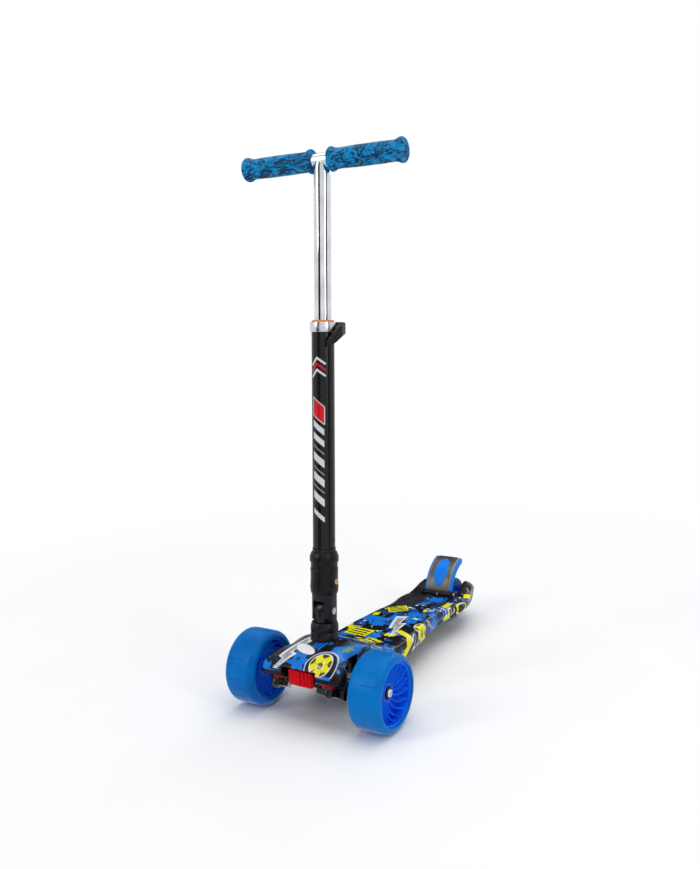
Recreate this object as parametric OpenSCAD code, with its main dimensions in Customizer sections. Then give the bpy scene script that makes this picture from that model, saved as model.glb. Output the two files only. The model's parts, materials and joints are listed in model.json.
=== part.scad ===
// Folding kick scooter with two steered front wheels and one rear wheel.
// +Z is up and the front wheels point along -Y. The origin is on the ground,
// at the middle of the scooter's length and width.

/* [Overall] */
// Length from the front tyres to the end of the tail
overall_l = 572; // [568:1:600]
// Distance between the front and the rear axle
wheelbase = 470; // [466:1:472]

/* [Front wheels] */
// Diameter of a front tyre
front_d = 120; // [118:1:122]
// Width of a front tyre
front_w = 56; // [50:1:56]
// Distance between the middles of the front tyres
track = 226; // [224:1:236]
// Diameter of the wheel core, where the tyre starts
core_d = 97; // [94:1:98]
// Number of blades in a front wheel core
blades = 16; // [10:1:20]

/* [Rear wheel] */
// Diameter of the rear tyre
rear_d = 80; // [78:1:80]
// Width of the rear tyre
rear_w = 40; // [34:1:42]

/* [Stem] */
// Backward lean of the stem
lean = 5; // [4:0.5:6]
// Distance behind the front axle where the stem's line meets the ground
stem_foot = 14.5; // [13:0.5:16]
// Outer diameter of the lower tube
tube_d = 35; // [34.8:0.1:35.2]
// Wall of the lower tube
tube_wall = 2; // [1.8:0.1:2.2]
// Outer diameter of the sliding tube
slider_d = 25.5; // [25:0.1:26]
// Height of the handlebar along the stem
bar_s = 853; // [840:1:870]
// How far the handlebar slides down
bar_travel = 200; // [100:10:200]

/* [Handlebar] */
// Length of the handlebar over both grips
bar_w = 280; // [260:2:290]
// Diameter of the crossbar
bar_d = 22; // [20:0.2:22.2]
// Diameter of a grip's body
grip_d = 32; // [30:0.5:33]
// Diameter of a grip's end flanges
flange_d = 37.3; // [35:0.1:39]

/* [Fold joint] */
// Height of the fold pivot along the stem
pivot_s = 163; // [162.8:0.1:163.5]
// Diameter of the knuckle under the sleeve
barrel_d = 39; // [38.6:0.1:39.2]
// Thickness of the tongue between the fork's ears
tongue_t = 18; // [16:0.5:18]
// How far the sleeve lifts while the stem folds
sleeve_lift = 20; // [18:1:20]

/* [Steering] */
// Distance of each kingpin from the middle
kingpin_x = 48; // [47:0.5:49]
// Lean of the kingpins
kingpin_tilt = 30; // [28:1:31]
// Distance from a kingpin to the link's pin
link_arm = 24; // [23.5:0.1:24.5]

/* [Deck] */
// Height of the standing surface
deck_top = 71; // [70:0.5:72]
// Height of the deck's lower edge
deck_low = 42; // [41:0.5:43]
// Wall of the moulded shell
shell_t = 3; // [2.5:0.1:3]
// Thickness of the grip pad
pad_t = 2.5; // [2:0.1:3]

/* [Brake] */
// Width of the brake fender
fender_w = 55; // [50:1:55]
// Radius of the fender's arc
fender_r = 71; // [70:0.5:72]

/* [Hidden] */
$fn = 64;

axle_y = front_d / 2 - overall_l / 2;  // front axle, from the origin
tail_y = overall_l - front_d / 2;      // end of the tail, from the front axle
far = 400;                             // longer than any piece that it cuts
slip = 0.05;                           // radial clearance of a running fit

// Fold joint, in heights along the stem
slot_half = tongue_t / 2 + 0.2;
tongue_r = 16.5;
slot_top = pivot_s + tongue_r + 0.7;
ear_r = 17.3;
collar_top = 144.5;
barrel_top = 236;
flange_low = 256;
tube_low = 262;
spigot_top = 288;
plunger_r = 6;
screw_s = 210;
nose_d = 3.6;

// Top of the stem
tube_top = 611;
tube_r = tube_d / 2;
tube_bore = tube_r - tube_wall;
slider_r = slider_d / 2;
slider_low = spigot_top + bar_travel + 16;
clamp_turn = 25;
clamp_s = 603.5;
clamp_y = 23.5;
dowel_x = 22;
dowel_r = 5;

// Kingpins: a point on the line, and heights along it
kingpin_y = -5;
kingpin_z = 80;
kingpin_r = 5;
pin_l = -25;
axle_r = 4;
wheel_x = track / 2;
hub_half = 12;

// Rear end, behind the front axle
rear_y = wheelbase;
rear_z = rear_d / 2;
leg_in = 28.5;
leg_out = 34;
slot_y = 420;
hinge_y = 428;
hinge_z = 61;
hinge_pin_r = 3;
arc_y = 497.5;
arc_z = 48;

// Grip pad: its place along the deck, which slopes down under it
PAD_FRONT = 303;
PAD_REAR = 416;
pad_high = 68;
pad_low = 57;
pad_slope = atan((pad_high - pad_low) / (PAD_REAR - PAD_FRONT));

// Deck: half width, height of the middle, height of the edge and height of
// the lower rim, each at distances behind the front axle
HALF = [[-53, 62], [-50, 68], [-44, 72], [-30, 73], [-15, 66], [0, 56], [20, 57], [45, 61], [75, 64],
    [110, 66], [160, 68], [200, 66], [250, 60.5], [290, 56.5], [325, 55], [355, 58], [385, 64],
    [408, 65.5], [435, 63], [460, 57], [485, 50], [502, 44], [512, 40]];
MID = [[-53, 92], [-50, 96], [-40, 105], [-20, 113], [5, 117.5], [35, 117], [60, 109], [80, 97],
    [100, 86], [125, 76], [150, deck_top], [240, deck_top - 0.5], [290, 69.25], [PAD_FRONT, pad_high],
    [PAD_REAR, pad_low], [428, 55.85], [445, 60], [462, 70], [480, 75], [495, 70], [512, 58]];
EDGE = [[-53, 80], [-44, 85], [-20, 90], [20, 92], [50, 86], [80, 76], [110, 67], [150, 60],
    [290, 58], [350, 53], [416, 48.5], [435, 50], [460, 58], [480, 60], [512, 50]];
RIM = [[-53, 79], [-20, 78], [30, 62], [60, 51], [90, 44], [130, deck_low], [430, deck_low],
    [470, 40], [495, 42], [512, 48]];
STATIONS = [-53, -50, -44, -36, -26, -15, -5, 5, 17, 30, 42, 55, 68, 80, 95, 110, 128, 150, 178, 205,
    232, 260, 290, 320, 345, 368, 390, 410, 426, 440, 455, 470, 485, 496, 505, 512];

// Smooth curve through points [place, value]
function span_of(keys, y, i = 0) =
    (i >= len(keys) - 2 || y < keys[i + 1][0]) ? i : span_of(keys, y, i + 1);
function slope_at(keys, i) =
    (i == 0 || i == len(keys) - 1) ? 0 : (keys[i + 1][1] - keys[i - 1][1]) / (keys[i +
        1][0] - keys[i - 1][0]);
function spline(keys, y) =
    let (i = span_of(keys, y), h = keys[i + 1][0] - keys[i][0], t = (y - keys[i][0]) / h)
    (2 * pow(t, 3) - 3 * t * t + 1) * keys[i][1] + (pow(t, 3) - 2 * t * t + t) * h * slope_at(keys, i)
    + (3 * t * t - 2 * pow(t, 3)) * keys[i + 1][1] + (pow(t, 3) - t * t) * h * slope_at(keys, i + 1);

// Half of the deck's section: a superellipse, round at the hood and square at the deck
SQUARE = [[-53, 2.6], [40, 2.4], [90, 3], [150, 5], [420, 5], [512, 3]];
function arch(half, edge, mid, power, turn) =
    [half * sign(cos(turn)) * pow(abs(cos(turn)), 2 / power), edge + (mid - edge) * pow(sin(turn),
        2 / power)];
// One section ring at y, made smaller by inset
function section(y, inset, low) =
    let (half = spline(HALF, y) - inset, edge = spline(EDGE, y), mid = spline(MID, y) - inset,
         rim = spline(RIM, y) - low, power = spline(SQUARE, y))
    concat([[half - 1.5, y, rim]],
        [for (k = [0:12]) let (p = arch(half, edge, mid, power, 15 * k)) [p[0], y, p[1]]],
        [[1.5 - half, y, rim]]);

// Closed skin over rings of equal length
module loft(rings) {
    n = len(rings[0]);
    m = len(rings);
    points = [for (ring = rings) for (p = ring) p];
    sides = [for (i = [0:m - 2]) for (k = [0:n - 1]) let (k2 = (k + 1) % n)
        for (face = [[i * n + k, i * n + k2, (i + 1) * n + k2], [i * n + k, (i + 1) * n + k2, (i +
            1) * n + k]]) face];
    first = [for (k = [n - 1:-1:0]) k];
    last = [for (k = [0:n - 1]) (m - 1) * n + k];
    polyhedron(points, concat(sides, [first], [last]));
}

// Wire coil along Z, as one closed skin
module coil(r, wire_r, height, turns) {
    steps = turns * 12;
    loft([for (i = [0:steps]) let (a = 360 * turns * i / steps, z = height * i / steps)
        [for (k = [0:5]) let (b = 60 * k)
            [(r + wire_r * cos(b)) * cos(a), (r + wire_r * cos(b)) * sin(a), z - wire_r * sin(b)]]]);
}

module ring(r_out, r_in, h) {
    difference() {
        cylinder(r = r_out, h = h);
        translate([0, 0, -1]) cylinder(r = r_in, h = h + 2);
    }
}

// A cylinder along X, from x0 to x1
module rod_x(r, x0, x1) translate([x0, 0, 0]) rotate([0, 90, 0]) cylinder(r = r, h = x1 - x0);
// A box between two corners
module block(low, high) translate(low) cube(high - low);

// Places
module scooter() translate([0, axle_y, 0]) children();
module stem_line() scooter() translate([0, stem_foot, 0]) rotate([-lean, 0, 0]) children();
module clamp_line() stem_line() rotate([0, 0, clamp_turn]) children();
module kingpin_line(side)
    scooter() translate([side * kingpin_x, kingpin_y, kingpin_z]) rotate([-kingpin_tilt, 0, 0]) children();
module link_pin_line(side) kingpin_line(side) translate([0, -link_arm, 0]) children();
module front_axle(side) scooter() translate([0, 0, front_d / 2]) mirror([side < 0 ? 1 : 0, 0, 0]) children();
module pad_line() scooter() translate([0, PAD_FRONT, pad_high]) rotate([-pad_slope, 0, 0]) children();
module rear_axle_line() scooter() translate([0, rear_y, rear_z]) children();
module hinge_line() scooter() translate([0, hinge_y, hinge_z]) children();

// ---- Deck and frame ----

// Pad's outline, measured along the slope
module pad_outline() {
    long = (PAD_REAR - PAD_FRONT) / cos(pad_slope);
    polygon([[-20, 0], [20, 0], [32, 14], [29, long - 10], [24, long], [-24, long], [-29, long - 10],
        [-32, 14]]);
}

module deck_ribs() {
    for (x = [-33, 0, 33]) block([x - 1, 70, deck_low], [x + 1, 413, deck_top]);
    for (y = [70:50:420]) block([-80, y, deck_low], [80, y + 2, deck_top + 60]);
}

module deck_shell() {
    color("royalblue") scooter() difference() {
        loft([for (y = STATIONS) section(y, 0, 0)]);
        difference() {
            loft([for (y = STATIONS) section(min(max(y, -53 + shell_t), tail_y - 2.5), shell_t, 9)
                + [for (k = [0:14]) [0, y == STATIONS[0] ? 0.01 : y == tail_y ? 0.5 : 0, 0]]]);
            deck_ribs();
        }
        // Slot for the rear wheel, and the recess between the front lobes
        block([-leg_out - 0.3, slot_y, 0], [leg_out + 0.3, tail_y + 1, 200]);
        block([-31, -60, 0], [31, -14, 94]);
        // Room for the rear fork's cross bar
        block([-leg_out - 0.3, 413.7, 0], [leg_out + 0.3, slot_y + 1, deck_low + 8.3]);
        // Pockets where the steering knuckles swing
        for (x = [-100, 36]) block([x, -26, 0], [x + 64, 28, 99.5]);
        // Hole for the stem socket
        translate([0, stem_foot, 0]) rotate([-lean, 0, 0]) cylinder(r = 22.4, h = far);
        translate([0, PAD_FRONT, pad_high]) rotate([-pad_slope, 0, 0]) translate([0, 0, -1])
            linear_extrude(40) pad_outline();
        for (p = COVER_SCREWS) translate([p[0], p[1], 0]) cylinder(r = 2, h = deck_low + 14);
    }
}

COVER_SCREWS = [for (y = [95:100:395]) for (x = [-44, 44]) [x, y]];

module cover_outline() {
    outline = [for (y = [76:18:418]) [spline(HALF, y) - shell_t - 3, y]];
    polygon(concat(outline, [for (k = [len(outline) - 1:-1:0]) [-outline[k][0], outline[k][1]]]));
}

module bottom_cover() {
    color("dimgray") scooter() difference() {
        translate([0, 0, deck_low - 2.6]) linear_extrude(2.5) cover_outline();
        for (p = COVER_SCREWS) translate([p[0], p[1], 0]) cylinder(r = 2.1, h = far);
    }
}

module cover_screws() {
    color("silver") scooter() for (p = COVER_SCREWS) translate([p[0], p[1], deck_low - 5]) {
        cylinder(r = 1.9, h = 15);
        cylinder(r = 4, h = 2.3);
    }
}

module grip_pad() {
    color("dimgray") pad_line() difference() {
        translate([0, 0, -1]) linear_extrude(pad_t) pad_outline();
        for (y = [4:9:PAD_REAR - PAD_FRONT + 20])
            translate([0, y, pad_t - 1.5]) rotate([0, 0, -35]) block([-45, 0, 0], [45, 1.2, 1]);
    }
}

// Tower for the stem socket, spine under the deck and a boss for each kingpin
module front_frame() {
    color("black") difference() {
        union() {
            scooter() block([-26, -12, 54], [26, 60, 78]);
            scooter() block([-20, 30, 46], [20, 68, 54.5]);
            stem_line() translate([0, 0, 54]) cylinder(r = 25, h = 57);
            for (side = [-1, 1]) {
                kingpin_line(side) translate([0, 0, 1]) cylinder(r = 11, h = 15);
                kingpin_line(side) block([side > 0 ? -38 : 0, -9, 3], [side > 0 ? 0 : 38, 9, 14]);
            }
        }
        stem_line() translate([0, 0, 60]) cylinder(r = 16, h = far);
        for (side = [-1, 1]) kingpin_line(side) translate([0, 0, -20]) cylinder(r = kingpin_r, h = 60);
    }
}

module rear_fork() {
    color("black") scooter() difference() {
        union() {
            for (side = [-1, 1]) {
                x0 = side > 0 ? leg_in : -leg_out;
                x1 = side > 0 ? leg_out : -leg_in;
                hull() {
                    translate([0, rear_y, rear_z]) rod_x(13, x0, x1);
                    translate([0, 440, 48]) rod_x(8, x0, x1);
                }
                hull() {
                    translate([0, hinge_y, hinge_z]) rod_x(6.5, x0, x1);
                    translate([0, 446, 46]) rod_x(7, x0, x1);
                    translate([0, 427, 49]) rod_x(6.5, x0, x1);
                }
            }
            block([-leg_out, 414, deck_low + 0.5], [leg_out, 422.5, deck_low + 8]);
        }
        translate([0, rear_y, rear_z]) rod_x(axle_r, -60, 60);
        translate([0, hinge_y, hinge_z]) rod_x(hinge_pin_r, -60, 60);
    }
}

module stem_socket() {
    color("black") stem_line() difference() {
        union() {
            rotate_extrude() polygon([[0, 113], [22, 113], [22, 129], [21.4, 130], [21.4, 131], [22, 132],
                [22, 139], [20, collar_top], [0, collar_top]]);
            translate([0, 0, 62]) cylinder(r = 15.95, h = 52);
        }
        translate([0, 0, 90]) cylinder(r = 11, h = far);
    }
}

// Tongue of the fold joint, on a shank that stands in the socket
module lower_knuckle() {
    color("black") stem_line() difference() {
        union() {
            translate([0, 0, 92]) cylinder(r = 10.95, h = collar_top - 92);
            intersection() {
                block([-tongue_t / 2, -20, collar_top], [tongue_t / 2, 20, pivot_s]);
                translate([0, 0, collar_top]) cylinder(r = 17, h = 40);
            }
            translate([0, 0, pivot_s]) rod_x(tongue_r, -tongue_t / 2, tongue_t / 2);
        }
        translate([0, 0, pivot_s]) rod_x(4 + slip, -30, 30);
        // Notch for the lock plunger's nose
        translate([0, 0, pivot_s + tongue_r - nose_d - 0.5]) rotate([60, 0, 0]) rotate([0, 90, 0])
            translate([0, 0, -30]) linear_extrude(60) polygon([[0, 0], [-20, 0], [-20 * cos(120),
                20 * sin(120)]]);
    }
}

module kingpins() {
    color("silver") for (side = [-1, 1]) kingpin_line(side) {
        translate([0, 0, -33.8]) cylinder(r = kingpin_r, h = 53);
        translate([0, 0, -39]) cylinder(r = 8, h = 5.2);
        translate([0, 0, 16]) cylinder(r = 8, h = 3, $fn = 6);
    }
}

// Centring springs, round each kingpin between the boss and the knuckle
module kingpin_springs() {
    color("silver") for (side = [-1, 1]) kingpin_line(side) translate([0, 0, -5.5]) coil(7.2, 0.9, 5.2, 2.5);
}

// ---- Rear axle and brake ----

module rear_axle() {
    color("silver") rear_axle_line() {
        rod_x(axle_r - 0.01, leg_out * -1 - 0.1, leg_out + 7);
        rod_x(7, leg_out, leg_out + 4);
        rod_x(6.5, -leg_out - 4, -leg_out);
    }
}

module rear_axle_nut() {
    color("silver") rear_axle_line() difference() {
        rod_x(7, leg_out + 4, leg_out + 8, $fn = 6);
        rod_x(axle_r, 0, 60);
    }
}

module rear_spacers() {
    color("silver") rear_axle_line() for (x0 = [-leg_in + 0.1, rear_w / 2 + 0.3])
        translate([x0, 0, 0]) rotate([0, 90, 0]) ring(6.5, axle_r, leg_in - rear_w / 2 - 0.4);
}

module brake_pin() {
    color("silver") hinge_line() {
        rod_x(hinge_pin_r, -leg_out, leg_out);
        rod_x(4.5, leg_out, leg_out + 2);
    }
}

module brake_spring() {
    color("silver") hinge_line() translate([-7, 0, 0]) rotate([0, 90, 0]) coil(4.6, 0.8, 14, 5);
}

// Part of the fender's arc: between two radii, from x0 to x1, over a range of angles
module fender_arc(r_out, r_in, x0, x1, start, end) {
    scooter() translate([0, arc_y, arc_z]) intersection() {
        difference() {
            rod_x(r_out, x0, x1);
            rod_x(r_in, -far, far);
        }
        translate([-far / 2, 0, 0]) rotate([90, 0, 90]) linear_extrude(far)
            polygon([[0, 0], for (a = [start:(end - start) / 4:end]) [120 * cos(a), 120 * sin(a)]]);
    }
}

module brake_fender() {
    edge_x = fender_w / 2;
    color("dodgerblue") difference() {
        union() {
            fender_arc(fender_r, fender_r - 3.5, -edge_x, edge_x, 100, 171);
            // The sides end short of the hinge, clear of the tyre
            for (x = [-edge_x, edge_x - 3]) fender_arc(fender_r, fender_r - 11, x, x + 3, 100, 150);
            hinge_line() difference() {
                rod_x(5.5, -edge_x, edge_x);
                rod_x(20, -9, 9);
            }
            // Rib that carries the pad
            fender_arc(fender_r - 3, fender_r - 40, -8, 8, 106, 124);
        }
        hinge_line() rod_x(hinge_pin_r + slip, -60, 60);
        rear_axle_line() rod_x(rear_d / 2 + 13, -9, 9);
        hinge_line() rod_x(9, -9, 9);
    }
}

module brake_cover() {
    color("dimgray") fender_arc(fender_r + 1.8, fender_r, 3.5 - fender_w / 2, fender_w / 2 - 3.5, 101, 163);
}

module brake_insert() {
    color("dodgerblue") intersection() {
        fender_arc(fender_r + 3, fender_r + 1.8, -14, 14, 104, 162);
        scooter() translate([0, arc_y, arc_z]) rotate([44, 0, 0]) linear_extrude(far)
            polygon([for (a = [0:15:345]) [13 * cos(a), 30 * sin(a)]]);
    }
}

module brake_pad() {
    color("black") intersection() {
        fender_arc(fender_r - 3, fender_r - 50, -8, 8, 106, 124);
        rear_axle_line() rotate([0, 90, 0]) translate([0, 0, -8]) ring(rear_d / 2 + 13, rear_d / 2 + 6.3, 16);
    }
}

// ---- Stem ----

module outer_tube() {
    color("black") stem_line() difference() {
        translate([0, 0, tube_low]) cylinder(r = tube_r, h = tube_top - tube_low);
        translate([0, 0, tube_low - 1]) cylinder(r = tube_bore, h = far);
        rotate([0, 0, clamp_turn]) block([-1, 5, tube_top - 40], [1, 25, tube_top + 1]);
        for (a = [90, 270]) translate([0, 0, tube_low + 14]) rotate([90, 0, a]) cylinder(r = 2, h = 30);
    }
}

// Fork of the fold joint: two ears, a barrel for the sleeve and a spigot for the tube
module upper_knuckle() {
    color("black") stem_line() difference() {
        union() {
            intersection() {
                translate([0, 0, pivot_s - 30]) cylinder(r = barrel_d / 2, h = 30);
                translate([0, 0, pivot_s]) rod_x(ear_r, -40, 40);
            }
            translate([0, 0, pivot_s]) cylinder(r = barrel_d / 2, h = barrel_top - pivot_s);
            translate([0, 0, barrel_top]) cylinder(r = tube_r, h = flange_low - barrel_top);
            translate([0, 0, flange_low]) cylinder(r = 18.2, h = tube_low - flange_low);
            translate([0, 0, tube_low]) cylinder(r = tube_bore, h = spigot_top - tube_low);
        }
        block([-slot_half, -40, pivot_s - 40], [slot_half, 40, slot_top]);
        translate([0, 0, pivot_s]) rod_x(4, -30, 30);
        // Flats that seat the pivot bolt's head and nut
        translate([0, 0, pivot_s]) rod_x(7, 15, 30);
        translate([0, 0, pivot_s]) rod_x(7, -30, -15);
        // Bore of the lock plunger, and the slot that its screw travels in
        translate([0, 0, slot_top - 1]) cylinder(r = plunger_r + slip, h = 270 - slot_top);
        block([0, -2.7, screw_s - 2.7], [40, 2.7, screw_s + sleeve_lift + 2.7]);
        for (a = [90, 270]) translate([0, 0, tube_low + 14]) rotate([90, 0, a]) cylinder(r = 1.98, h = 30);
    }
}

module knuckle_screws() {
    color("gray") stem_line() for (side = [-1, 1]) translate([0, 0, tube_low + 14]) {
        rod_x(1.95, side > 0 ? 8 : -tube_r - 0.5, side > 0 ? tube_r + 0.5 : -8);
    }
}

module fold_pivot_bolt() {
    color("silver") stem_line() translate([0, 0, pivot_s]) {
        rod_x(3.98, -17, 17);
        rod_x(6, 15, 18.5);
    }
}

module fold_pivot_nut() {
    color("silver") stem_line() translate([0, 0, pivot_s]) difference() {
        rod_x(6, -18.8, -15, $fn = 6);
        rod_x(4, -30, 0);
    }
}

module fold_sleeve() {
    color("black") stem_line() difference() {
        rotate_extrude() polygon([[19.8, 190], [20.6, 190], [21.8, 194], [22.3, 202], [21.9, 204],
            [21.6, 227], [22.1, 228], [21.9, 230], [21.1, 231], [21.1, 239], [22.7, 241], [22.7, 249],
            [21.4, 252], [19.6, 256], [18.6, 256], [18.6, 242], [19.8, 242]]);
        translate([0, 0, screw_s]) rod_x(2.5, 0, 40);
        translate([0, 0, screw_s]) rod_x(5, 21.4, 40);
    }
}

module sleeve_screw() {
    color("goldenrod") stem_line() translate([0, 0, screw_s]) {
        rod_x(2.45, 2, 22);
        rod_x(4.6, 21.4, 23.4);
    }
}

// Plunger whose wedge nose drops into the tongue's notch
module lock_plunger() {
    color("silver") stem_line() difference() {
        translate([0, 0, slot_top - 0.7 - nose_d]) cylinder(r = plunger_r, h = 226 - slot_top);
        for (side = [-1, 1]) translate([0, 0, slot_top - 0.7 - nose_d]) rotate([side * 30, 0, 0])
            block([-20, -20, -20], [20, 20, 0]);
        translate([0, 0, screw_s]) rod_x(2.46, 0, 40);
    }
}

module lock_spring() {
    color("silver") stem_line() translate([0, 0, 224]) coil(4.6, 0.7, 18, 7);
}

module guide_bush() {
    color("darkorange") stem_line() difference() {
        union() {
            translate([0, 0, tube_top - 36]) cylinder(r = tube_bore, h = 36);
            translate([0, 0, tube_top]) cylinder(r = tube_r, h = 3.2);
        }
        translate([0, 0, tube_top - 40]) cylinder(r = slider_r + slip, h = 60);
    }
}

module clamp_collar() {
    color("silver") clamp_line() difference() {
        union() {
            translate([0, 0, tube_top - 15]) cylinder(r = tube_r + 2.2, h = 15);
            block([-8, 10, tube_top - 14], [8, clamp_y + 5.5, tube_top - 1]);
        }
        translate([0, 0, tube_top - 30]) cylinder(r = tube_r, h = 60);
        block([-1.5, 0, tube_top - 20], [1.5, 40, tube_top + 1]);
        translate([0, clamp_y, clamp_s]) rod_x(3, -30, 30);
    }
}

module clamp_bolt() {
    color("silver") clamp_line() translate([0, clamp_y, clamp_s]) rod_x(2.95, -16, dowel_x - 2);
}

module clamp_nut() {
    color("silver") clamp_line() translate([0, clamp_y, clamp_s]) difference() {
        rod_x(5.5, -15, -8);
        rod_x(3, -30, 0);
    }
}

module lever_dowel() {
    color("silver") clamp_line() translate([dowel_x, clamp_y, clamp_s]) difference() {
        translate([0, 0, -8.2]) cylinder(r = dowel_r, h = 16.4);
        rod_x(2.95, -20, -2);
    }
}

// Lever with a forked end round the dowel, lying down along the tube
module clamp_lever() {
    color("black") clamp_line() difference() {
        union() {
            translate([dowel_x, clamp_y, clamp_s - 8]) cylinder(r = 8.5, h = 16);
            hull() {
                translate([dowel_x + 2, clamp_y, clamp_s - 8]) cylinder(r = 6.5, h = 16, $fn = 32);
                translate([28.5, 8, clamp_s - 10]) cylinder(r = 5.5, h = 16, $fn = 32);
            }
            hull() {
                translate([28.5, 8, clamp_s - 10]) cylinder(r = 5.5, h = 16, $fn = 32);
                translate([26.5, -5, clamp_s - 14]) cylinder(r = 4.5, h = 15, $fn = 32);
            }
            hull() {
                translate([26.5, -5, clamp_s - 14]) cylinder(r = 4.5, h = 15, $fn = 32);
                translate([20, -15, clamp_s - 22]) cylinder(r = 4, h = 13, $fn = 32);
            }
            hull() {
                translate([20, -15, clamp_s - 22]) cylinder(r = 4, h = 13, $fn = 32);
                translate([11, -21.5, clamp_s - 30]) cylinder(r = 3, h = 9, $fn = 32);
            }
        }
        translate([dowel_x, clamp_y, clamp_s - 20]) cylinder(r = dowel_r + slip, h = 40);
        block([dowel_x - 12, clamp_y - 9.5, clamp_s - 3.6], [dowel_x + 12, clamp_y + 12, clamp_s + 3.6]);
    }
}

// ---- Handlebar ----

module t_bar() {
    color("silver") stem_line() difference() {
        union() {
            translate([0, 0, slider_low]) cylinder(r = slider_r, h = bar_s - slider_low);
            translate([0, 0, bar_s]) rod_x(bar_d / 2, 3 - bar_w / 2, bar_w / 2 - 3);
        }
        translate([0, 0, slider_low - 1]) cylinder(r = slider_r - 1.5, h = bar_s - 14 - slider_low);
        for (side = [-1, 1]) translate([0, 0, bar_s]) rod_x(bar_d / 2 - 1.5, side > 0 ? 14 : -far,
            side > 0 ? far : -14);
    }
}

module grip() {
    reach = bar_w / 2;
    difference() {
        union() {
            rod_x(grip_d / 2, 17, reach - 1);
            rod_x(flange_d / 2, 16.5, 20.5);
            rod_x(flange_d / 2, reach - 5, reach);
        }
        rod_x(bar_d / 2, 0, reach - 3);
    }
}

module grip_left() color("dodgerblue") stem_line() translate([0, 0, bar_s]) grip();
module grip_right() color("dodgerblue") stem_line() translate([0, 0, bar_s]) mirror([1, 0, 0]) grip();

module tube_plug() {
    color("dimgray") stem_line() {
        translate([0, 0, slider_low - 10]) cylinder(r = tube_bore - slip, h = 10);
        translate([0, 0, slider_low]) cylinder(r = slider_r - 1.5, h = 16);
    }
}

// ---- Front suspension, mirrored for the two sides ----

module knuckle(side) {
    color("black") difference() {
        union() {
            kingpin_line(side) translate([0, 0, -33.5]) cylinder(r = 11.5, h = 27);
            hull() {
                kingpin_line(side) translate([0, 0, -32]) cylinder(r = 11, h = 20, $fn = 32);
                front_axle(side) translate([0, -2, 0]) rod_x(12, 56, 70, $fn = 32);
                front_axle(side) translate([0, -20, -9]) rod_x(9, 44, 64, $fn = 32);
            }
            front_axle(side) rod_x(13, 60, 83);
            front_axle(side) rod_x(7, 80, wheel_x - hub_half - 0.15);
            // Clevis: a plate above and a plate below the tie rod's eye
            for (z = [[-14, 10.5], [3.5, 8]]) hull() {
                link_pin_line(side) translate([0, 0, pin_l + z[0]]) cylinder(r = 9, h = z[1], $fn = 32);
                link_pin_line(side) translate([-side * 15, -1, pin_l + z[0] + 1])
                    cylinder(r = 6, h = z[1] - 2, $fn = 32);
                kingpin_line(side) translate([0, 0, pin_l + z[0]]) cylinder(r = 10, h = z[1], $fn = 32);
            }
            // Round cap over the pin's lower end
            link_pin_line(side) translate([0, 0, pin_l - 14]) rotate_extrude()
                polygon([[0, -4], [3, -3.7], [5.5, -2.4], [7.5, 0], [8, 2], [0, 2]]);
        }
        kingpin_line(side) translate([0, 0, -60]) cylinder(r = kingpin_r + slip, h = 70);
        kingpin_line(side) translate([0, 0, -6.5]) cylinder(r = 16, h = 40);
        kingpin_line(side) translate([0, 0, -60]) cylinder(r = 9, h = 60 - 33.5);
        link_pin_line(side) translate([0, 0, pin_l - 12]) cylinder(r = 3, h = 60);
        front_axle(side) rod_x(axle_r, 0, 120);
    }
}

module knuckle_left() knuckle(1);
module knuckle_right() knuckle(-1);

// Axle bolt: its head sits in the hub's dish, its nut behind the knuckle
module axle(side) {
    color("silver") front_axle(side) {
        rod_x(axle_r - 0.02, 64, wheel_x + hub_half + 1);
        rod_x(6.5, wheel_x + hub_half + 0.2, wheel_x + hub_half + 4.5);
    }
}

module axle_left() axle(1);
module axle_right() axle(-1);

module axle_nut(side) {
    color("gray") front_axle(side) difference() {
        rod_x(9.5, wheel_x + hub_half + 0.2, wheel_x + hub_half + 1.4);
        rod_x(6.5, 0, far);
    }
}

module axle_nut_left() axle_nut(1);
module axle_nut_right() axle_nut(-1);

module link_pin(side) {
    color("silver") link_pin_line(side) translate([0, 0, pin_l - 11.9]) {
        cylinder(r = 2.98, h = 23.5);
        translate([0, 0, 23.5]) cylinder(r = 5, h = 2.5);
    }
}

module link_pin_left() link_pin(1);
module link_pin_right() link_pin(-1);

// Tie rod: a ribbed block between two eyes
module steering_link() {
    color("red") difference() {
        union() {
            scooter() block([-22, -49, 65], [22, -36, 90]);
            for (x = [-14:7:14]) scooter() translate([x, -49, 0]) block([-1.2, -1.4, 65], [1.2, 1, 90]);
            for (side = [-1, 1]) {
                link_pin_line(side) translate([0, 0, pin_l - 3]) cylinder(r = 7.5, h = 6);
                x0 = side > 0 ? -kingpin_x + 10 : 0;
                link_pin_line(side) block([x0, -6, pin_l - 3], [x0 + kingpin_x - 10, 6, pin_l + 3]);
            }
        }
        for (side = [-1, 1]) link_pin_line(side) translate([0, 0, pin_l - 20]) cylinder(r = 3 + slip, h = 40);
    }
}

module tyre_profile(r, half_w, r_in, shoulder) {
    translate([r_in, -half_w]) square([r - r_in - shoulder, 2 * half_w]);
    translate([r_in, shoulder - half_w]) square([r - r_in, 2 * (half_w - shoulder)]);
    for (side = [-1, 1]) intersection() {
        translate([r - shoulder, side * (half_w - shoulder)]) circle(r = shoulder);
        translate([r - shoulder, side > 0 ? half_w - shoulder : -half_w]) square(shoulder);
    }
}

module tyre(side) {
    color("dodgerblue") front_axle(side) translate([wheel_x, 0, 0]) rotate([0, 90, 0]) rotate_extrude()
        tyre_profile(front_d / 2, front_w / 2, core_d / 2, 10);
}

module tyre_left() tyre(1);
module tyre_right() tyre(-1);

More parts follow.
